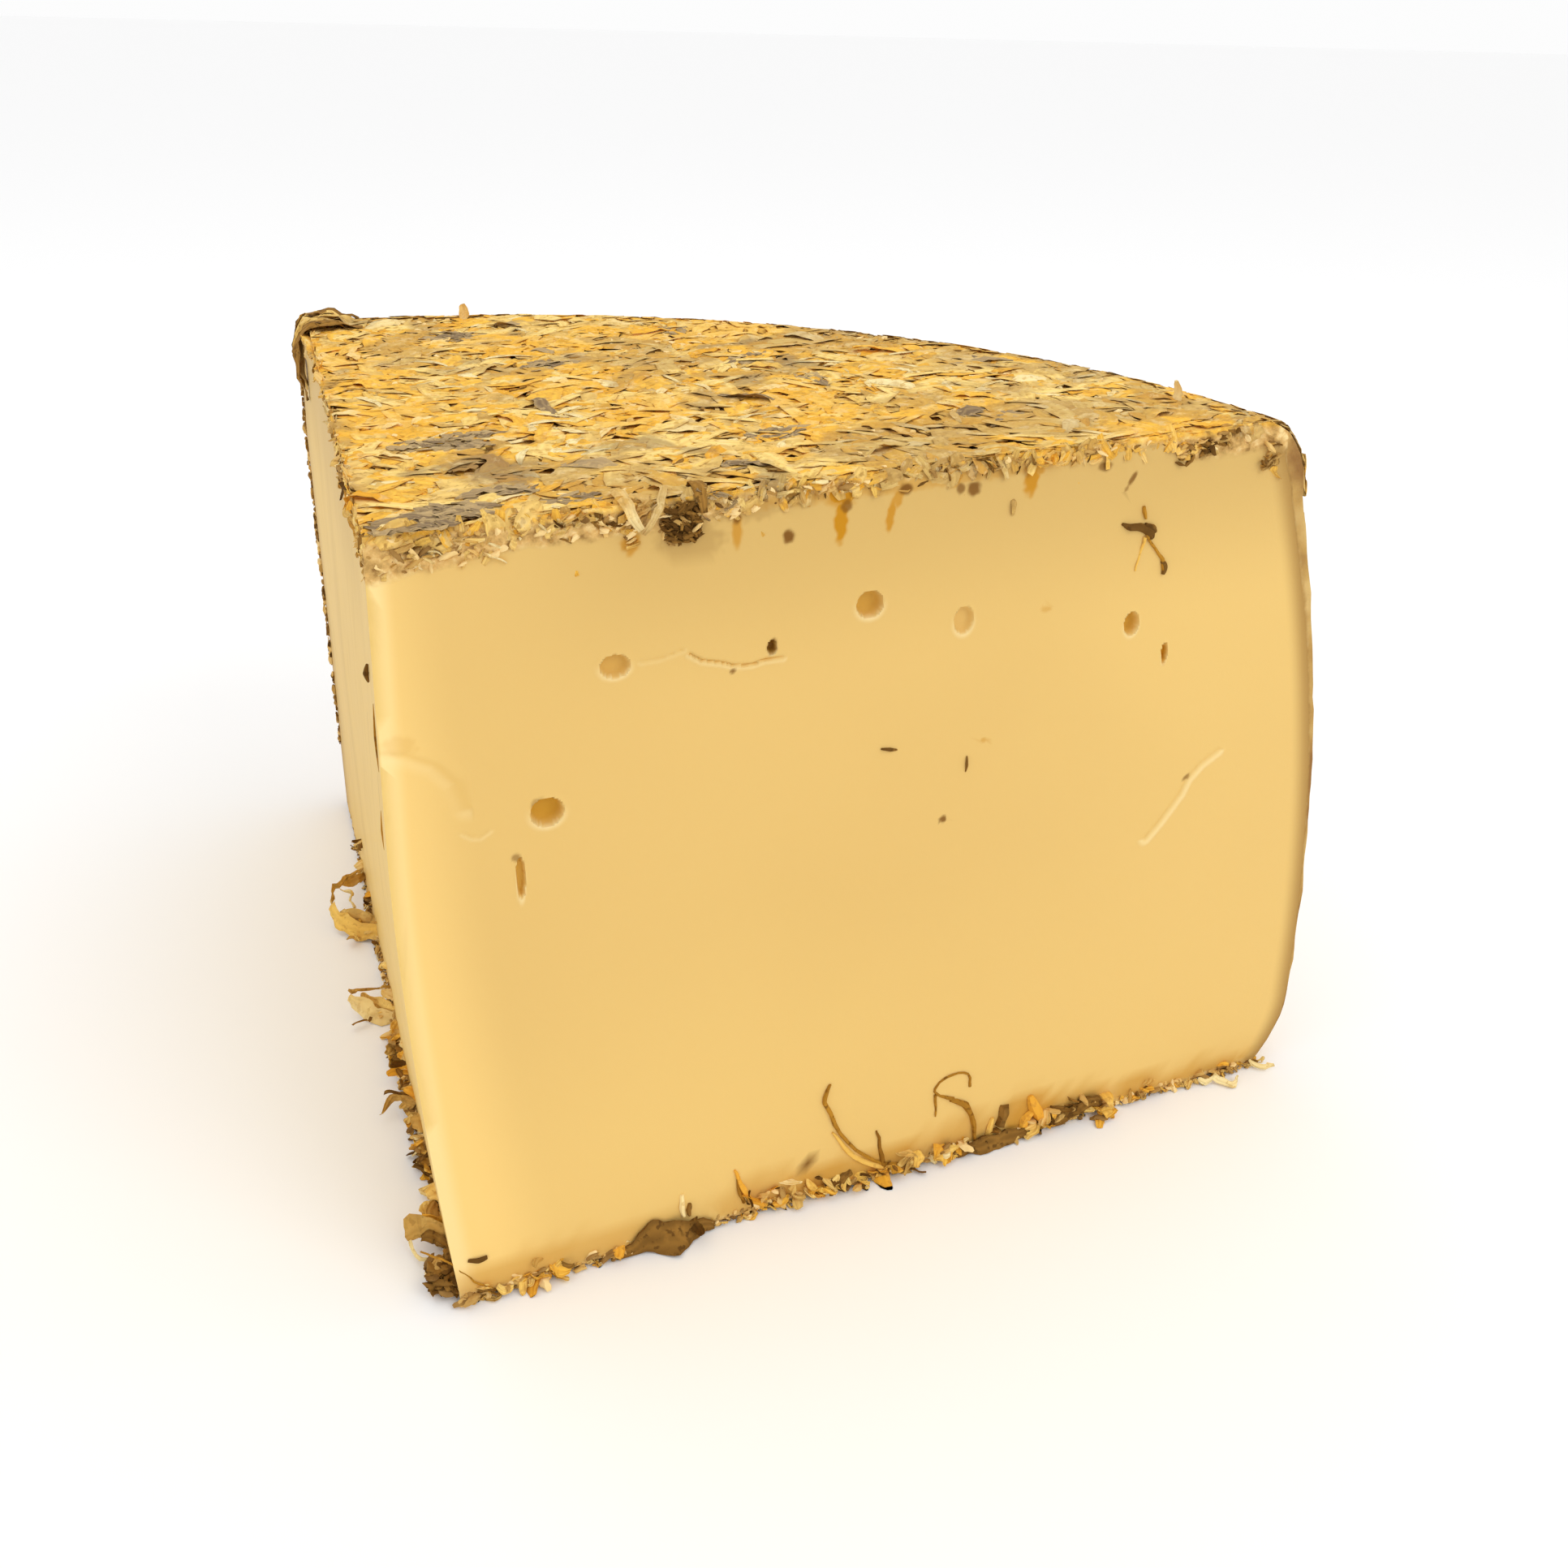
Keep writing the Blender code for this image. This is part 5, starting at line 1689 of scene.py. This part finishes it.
def add_far_edge(heaps):
    """Bits of rind that stand out along the far edge of the left face."""
    draw = random.Random(SEED + 8)
    crumbs = [crumb_parts(draw) for _ in range(CRUMB_SHAPES)]
    profile = rim_profile(SECTOR_ANGLE)
    for index in range(FAR_EDGE_BITS):
        level = draw.uniform(FOOT_STEPS, len(profile) - 2)
        part = level - int(level)
        radius, height = [below * (1 - part) + above * part
                          for below, above in zip(profile[int(level)], profile[int(level) + 1])]
        spot = ring_point(1, SECTOR_ANGLE, radius - draw.uniform(0.2, 2.2) * MM, height)
        spot += LEFT_OUT * draw.uniform(0, 0.25) * MM
        spin = Matrix.Rotation(draw.uniform(-0.5, 0.5), 3, "X") @ Matrix.Rotation(math.pi / 2, 3, "Y")
        bit = placed(crumbs[index % CRUMB_SHAPES], spin, spot, draw.uniform(0.4, 1.0))
        heaps["brown" if index % 3 == 0 else "crumb"].add(bit, draw.random())


def torn_leaf(centre, way, across, length, width, draw):
    """A short petal through a centre, curled a little either way."""
    turn = draw.uniform(-1.3, 1.3)
    direction = Matrix.Rotation(-turn / 2, 3, across) @ way
    path = curl_path(centre - direction * length / 2, direction, across, length, turn)
    return curl_leaf(path, across, width, TORN_THICK, draw, steps=8)


def add_clumps(heaps):
    draw = random.Random(SEED + 5)
    crumbs = [crumb_parts(draw) for _ in range(CRUMB_SHAPES)]
    for face, along, half_along, height, half_height, out, count, leaf, names in CLUMPS:
        surface, outward_way = FACES[face][:2]
        at_front_foot = face == "front" and height < 5
        kinds = names.split()
        for index in range(count):
            spot = surface(max(along + half_along * draw.uniform(-1, 1), 1) * MM,
                           max(height + half_height * draw.uniform(-1, 1), 0.3) * MM)
            spot += outward_way * out * draw.random() ** 1.5 * MM
            way = Vector((draw.uniform(-1, 1), draw.uniform(-1, 1), draw.uniform(-0.45, 0.45)))
            if out < 1.0:
                way -= outward_way * way.dot(outward_way) * 0.75
            way.normalize()
            name = kinds[index % len(kinds)]
            if name in ("crumb", "dark"):
                size = draw.uniform(0.5, 1.1) * min(leaf, 2.2) / 1.8
                spin = way.to_track_quat("X", "Z").to_matrix()
                bit = placed(crumbs[index % CRUMB_SHAPES], spin, spot, size)
                heaps["crumb" if name == "crumb" else "brown"].add(bit, draw.random())
                continue
            across = way.cross(Vector((draw.uniform(-1, 1), draw.uniform(-1, 1), 1.2))).normalized()
            length = leaf * draw.uniform(0.5, 1.15) * (0.7 if at_front_foot else 1)
            width = length * (0.45 if name in ("brown", "straw") else 0.6) * draw.uniform(0.6, 1.1)
            bit = torn_leaf(spot, way, across, length * MM, width * MM, draw)
            heaps[name].add(bit, draw.random(), 0.8 * MM)


# Grey patches on the top: place from the tip, length, width, heading in degrees; the number of
# petals for each square millimetre of length times width.
GREY_PATCHES = (
    (7.5, 2, 13, 6.5, 6), (11, 4.2, 10, 5, -14), (16.5, 8.6, 8, 3.5, 5), (12.5, 31, 12, 5, -12),
    (16, 33.5, 8, 3, 10), (54, 20.9, 8, 6, 20), (84.5, 14.5, 7, 4, 30), (107, 19, 8, 4, -10),
    (58.9, 86.5, 8, 5, 40), (34.6, 68.9, 10, 5, 30), (24.4, 94, 10, 6, 0), (83.7, 17.9, 8, 6, 0),
    (87, 11, 9, 3, -50), (86.5, 4.4, 5, 4.5, 60), (106, 21, 11, 4, 20), (24, 3.5, 7, 3, -10),
    (46, 9, 6, 3, 0), (70, 45, 9, 5, 110), (98, 48, 9, 6, 20), (66, 62, 10, 5, 30),
)
GREY_BITS = 0.55


def add_grey_patches(heap):
    """Each grey patch is a drift of small torn petals, thickest in the middle."""
    draw = random.Random(SEED + 3)
    for across, along, length, width, turn in GREY_PATCHES:
        lie = Matrix.Rotation(math.radians(turn), 3, "Z")
        for _ in range(int(length * width * GREY_BITS)):
            leaf = flat_leaf("broad", draw.uniform(2.0, 4.6) * MM, draw.uniform(1.0, 2.2) * MM,
                             GREY_THICK, draw, ragged=0.3)
            reach = draw.random() ** 0.7 / 2
            way = draw.uniform(0, 2 * math.pi)
            spot = lie @ Vector((length * math.cos(way), width * math.sin(way), 0)) * reach
            spot = (spot + Vector((across, along, 0))) * MM
            share = min(spot.length / BELLY_RADIUS, 0.84)
            spot.z = top_height(share, math.atan2(spot.y, spot.x)) + draw.uniform(0.3, 0.62) * MM
            spin = Matrix.Rotation(math.radians(turn + draw.gauss(0, 24)), 3, "Z")
            heap.add(placed(leaf, spin, spot), draw.random())


# Leaves scattered over the rind.

# Leaf shapes of each kind: outline, how many, length, width and thickness in mm, and what differs.
LEAF_KINDS = {
    "orange": ("floret", 8, (6, 10), (2.1, 3.7), 0.2, {}),
    "yellow": ("floret", 8, (6, 10), (2.1, 3.7), 0.2, {}),
    "straw": ("sliver", 7, (4, 9), (1.0, 2.2), 0.3, {"bend": 0.06}),
    "tan": ("flake", 6, (5, 10), (3, 6), 0.2, {}),
    "grey": ("broad", 5, (5, 9), (3, 5), 0.26, {}),
    "brown": ("sliver", 5, (1.6, 4.2), (0.5, 1.2), 0.4, {"steps": 4}),
}
SCATTERED_CRUMBS = 8

# Leaves scattered over each part of the rind: kind, spacing in mm, leaves per square metre,
# smallest and largest size, lean in degrees, lift in mm, patchiness (noise level below which
# none lie).
TOP_LAYERS = (
    ("tan", 2.2, 90000, (0.7, 1.1), 1.5, 0.05, 0),
    ("yellow", 1.7, 150000, (0.5, 1.1), 2, 0.12, 0.34),
    ("orange", 1.6, 170000, (0.5, 1.1), 2, 0.16, 0.36),
    ("straw", 2.4, 70000, (0.4, 1.1), 4, 0.22, 0.42),
    ("grey", 5, 16000, (0.22, 0.42), 1, 0.2, 0.52),
    ("brown", 4.6, 15000, (0.5, 1), 4, 0.25, 0.44),
    ("crumb", 1.6, 160000, (0.4, 1), 20, 0.2, 0.50),
)
RIM_LAYERS = (
    ("tan", 2.5, 60000, (0.8, 1.2), 1, 0.05, 0),
    ("yellow", 2.6, 56000, (0.6, 1.1), 1, 0.1, 0.36),
    ("orange", 2.6, 56000, (0.6, 1.1), 1, 0.12, 0.40),
    ("straw", 4, 20000, (0.6, 1.1), 2, 0.15, 0.45),
    ("grey", 8, 8000, (0.6, 1), 1, 0.1, 0.56),
    ("brown", 4, 20000, (0.6, 1), 2, 0.2, 0.45),
)
UNDER_LAYERS = (
    ("tan", 3, 36000, (0.8, 1.2), 1, 0.1, 0),
    ("yellow", 3, 36000, (0.7, 1.1), 1, 0.15, 0.4),
    ("orange", 3.2, 30000, (0.7, 1.1), 1, 0.2, 0.45),
    ("straw", 5, 12000, (0.7, 1.1), 1, 0.2, 0.45),
    ("grey", 6, 10000, (0.7, 1.1), 1, 0.2, 0.6),
    ("brown", 4, 20000, (0.6, 1), 1, 0.25, 0.45),
)
# Each part of the rind, its leaves, and how far at most they stand off it.
REGIONS = (
    ("top", TOP_LAYERS, 0.6 * MM),
    ("rim", RIM_LAYERS, 0.4 * MM),
    ("under", UNDER_LAYERS, 0.5 * MM),
)

# Litter where the knife went through the rind: band, kind, spacing in mm, bits per square metre,
# smallest and largest size, lean in radians, lift in mm.
BAND_LAYERS = (
    ("top", "crumb", 0.7, 1000000, (0.3, 1.1), 1.2, -0.15),
    ("top", "brown", 2.2, 120000, (0.2, 0.45), 0.5, -0.05),
    ("top", "straw", 2.6, 90000, (0.12, 0.28), 0.5, 0),
    ("top", "tan", 1.8, 200000, (0.12, 0.26), 0.6, -0.05),
    ("edge", "tan", 1.3, 400000, (0.25, 0.45), 0.35, 0.1),
    ("edge", "yellow", 1.5, 300000, (0.22, 0.42), 0.35, 0.15),
    ("edge", "orange", 1.5, 300000, (0.22, 0.42), 0.35, 0.2),
    ("edge", "straw", 2.6, 120000, (0.2, 0.4), 0.5, 0.2),
    ("edge", "brown", 2.2, 150000, (0.3, 0.7), 0.5, 0.2),
    ("foot", "crumb", 0.6, 1400000, (0.3, 0.8), 1.2, 0),
    ("foot", "brown", 2.4, 100000, (0.25, 0.5), 0.4, 0.1),
    ("foot", "yellow", 2.6, 90000, (0.15, 0.3), 0.5, 0.1),
    ("foot", "orange", 3, 70000, (0.15, 0.3), 0.5, 0.1),
)


def leaf_kinds():
    """A collection of leaf shapes for each kind."""
    draw = random.Random(SEED + 4)
    kinds = {}
    for name, (outline, count, length, width, thick, more) in LEAF_KINDS.items():
        kinds[name] = leaf_collection(f"{name}_leaves", [
            flat_leaf(outline, draw.uniform(*length) * MM, draw.uniform(*width) * MM, thick * MM, draw,
                      **more) for _ in range(count)])
    crumbs = [crumb_parts(draw) for _ in range(SCATTERED_CRUMBS)]
    kinds["crumb"] = leaf_collection("crumb_shapes", crumbs)
    return kinds


def lay_rind(tree, kinds, looks, heaps):
    """Petals pressed over the top, the rim and the underside, one piece for each kind."""
    pieces = {name: [] for name in heaps}
    for index, (region, layers, thickest) in enumerate(REGIONS):
        skin = rind_surface(region)
        for order, (kind, spacing, density, sizes, lean, lift, patch) in enumerate(layers):
            thing = scatter(tree, f"{kind}_{region}", skin, kinds[kind], looks[kind],
                            SEED + 10 * index + order, spacing, density, sizes,
                            math.radians(lean), lift, patch)
            trim_at_cuts(thing, TOP_CUT if region == "top" else REST_CUT)
            press(thing, skin, thickest)
            pieces[kind].append(thing)
    for kind, heap in heaps.items():
        if heap.verts:
            pieces[kind].append(heap.build())
    return pieces


def lay_bands(tree, kinds, looks, pieces):
    """Crumbs and petal ends along the top and the foot of both cut faces."""
    for index, (band, kind, spacing, density, sizes, lean, lift) in enumerate(BAND_LAYERS):
        pieces[kind].append(scatter(
            tree, f"{kind}_{band}_band", band_surface(band), kinds[kind], looks[kind],
            SEED + 50 + index, spacing, density, sizes, lean, lift, 0.0))


# Floor, lights and camera.

def build_floor():
    mesh = bmesh.new()
    bmesh.ops.create_circle(mesh, cap_ends=True, radius=FLOOR_RADIUS, segments=64)
    floor = add_object("floor", finished_mesh("floor", mesh))
    look = Finish("pale_floor")
    floor.data.materials.append(look.wire(Base_Color=FLOOR_COLOUR, Roughness=0.9))


def area_light(name, place, size, power):
    """A round lamp that shines on the cheese."""
    data = bpy.data.lights.new(name, "AREA")
    data.shape = "DISK"
    data.size = size
    data.energy = power
    lamp = add_object(name, data)
    lamp.location = place
    lamp.rotation_euler = (LIGHT_TARGET - Vector(place)).to_track_quat("-Z", "Y").to_euler()


def build_lights():
    area_light("key_softbox", (0.35, -0.75, 0.75), 0.6, 2.2)
    area_light("top_softbox", (-0.2, 0.2, 1.0), 0.8, 0.6)
    world = bpy.data.worlds.new("studio")
    world.use_nodes = True
    background = world.node_tree.nodes["Background"]
    background.inputs["Color"].default_value = (1, 1, 1, 1)
    background.inputs["Strength"].default_value = SKY_STRENGTH
    bpy.context.scene.world = world
    bpy.context.scene.view_settings.view_transform = "Standard"


def build_camera():
    data = bpy.data.cameras.new("camera")
    data.sensor_width = SENSOR_WIDTH
    data.lens = CAMERA_LENS
    data.shift_y = CAMERA_SHIFT
    data.clip_start = 0.01
    data.clip_end = 50
    camera = add_object("camera", data)
    turn = Matrix.Rotation(-CAMERA_TURN, 4, "Z")
    dip = Matrix.Rotation(math.pi / 2 - CAMERA_DIP, 4, "X")
    roll = Matrix.Rotation(CAMERA_ROLL, 4, "Z")
    camera.matrix_world = Matrix.Translation(CAMERA_PLACE) @ turn @ dip @ roll
    bpy.context.scene.camera = camera


# Putting it together.


def build_cheese():
    looks = {kind: petal_finish(*look) for kind, look in PETAL_LOOKS.items()}
    looks["crumb"] = crumb_finish()
    body = cheese_body()
    keep_in_box(body)
    settle(body, cheese_finish())
    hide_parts("cheese_wedge")
    kinds = leaf_kinds()
    heaps = {name: Heap(f"{name}_loose") for name in SLOTS}
    add_loose_petals(heaps)
    add_face_stalks(heaps, body)
    add_grey_patches(heaps["grey"])
    add_clumps(heaps)
    add_odd_leaves(heaps)
    add_dark_sheets(heaps["brown"])
    add_far_edge(heaps)
    add_corner_flap(heaps)
    tree = scatter_tree()
    pieces = lay_rind(tree, kinds, looks, heaps)
    lay_bands(tree, kinds, looks, pieces)
    for kind, things in pieces.items():
        whole = joined(f"{kind}_pieces", things)
        keep_in_box(whole)
        settle(whole, looks[kind])


noise.seed_set(SEED)
build_camera()
build_floor()
build_lights()
build_cheese()
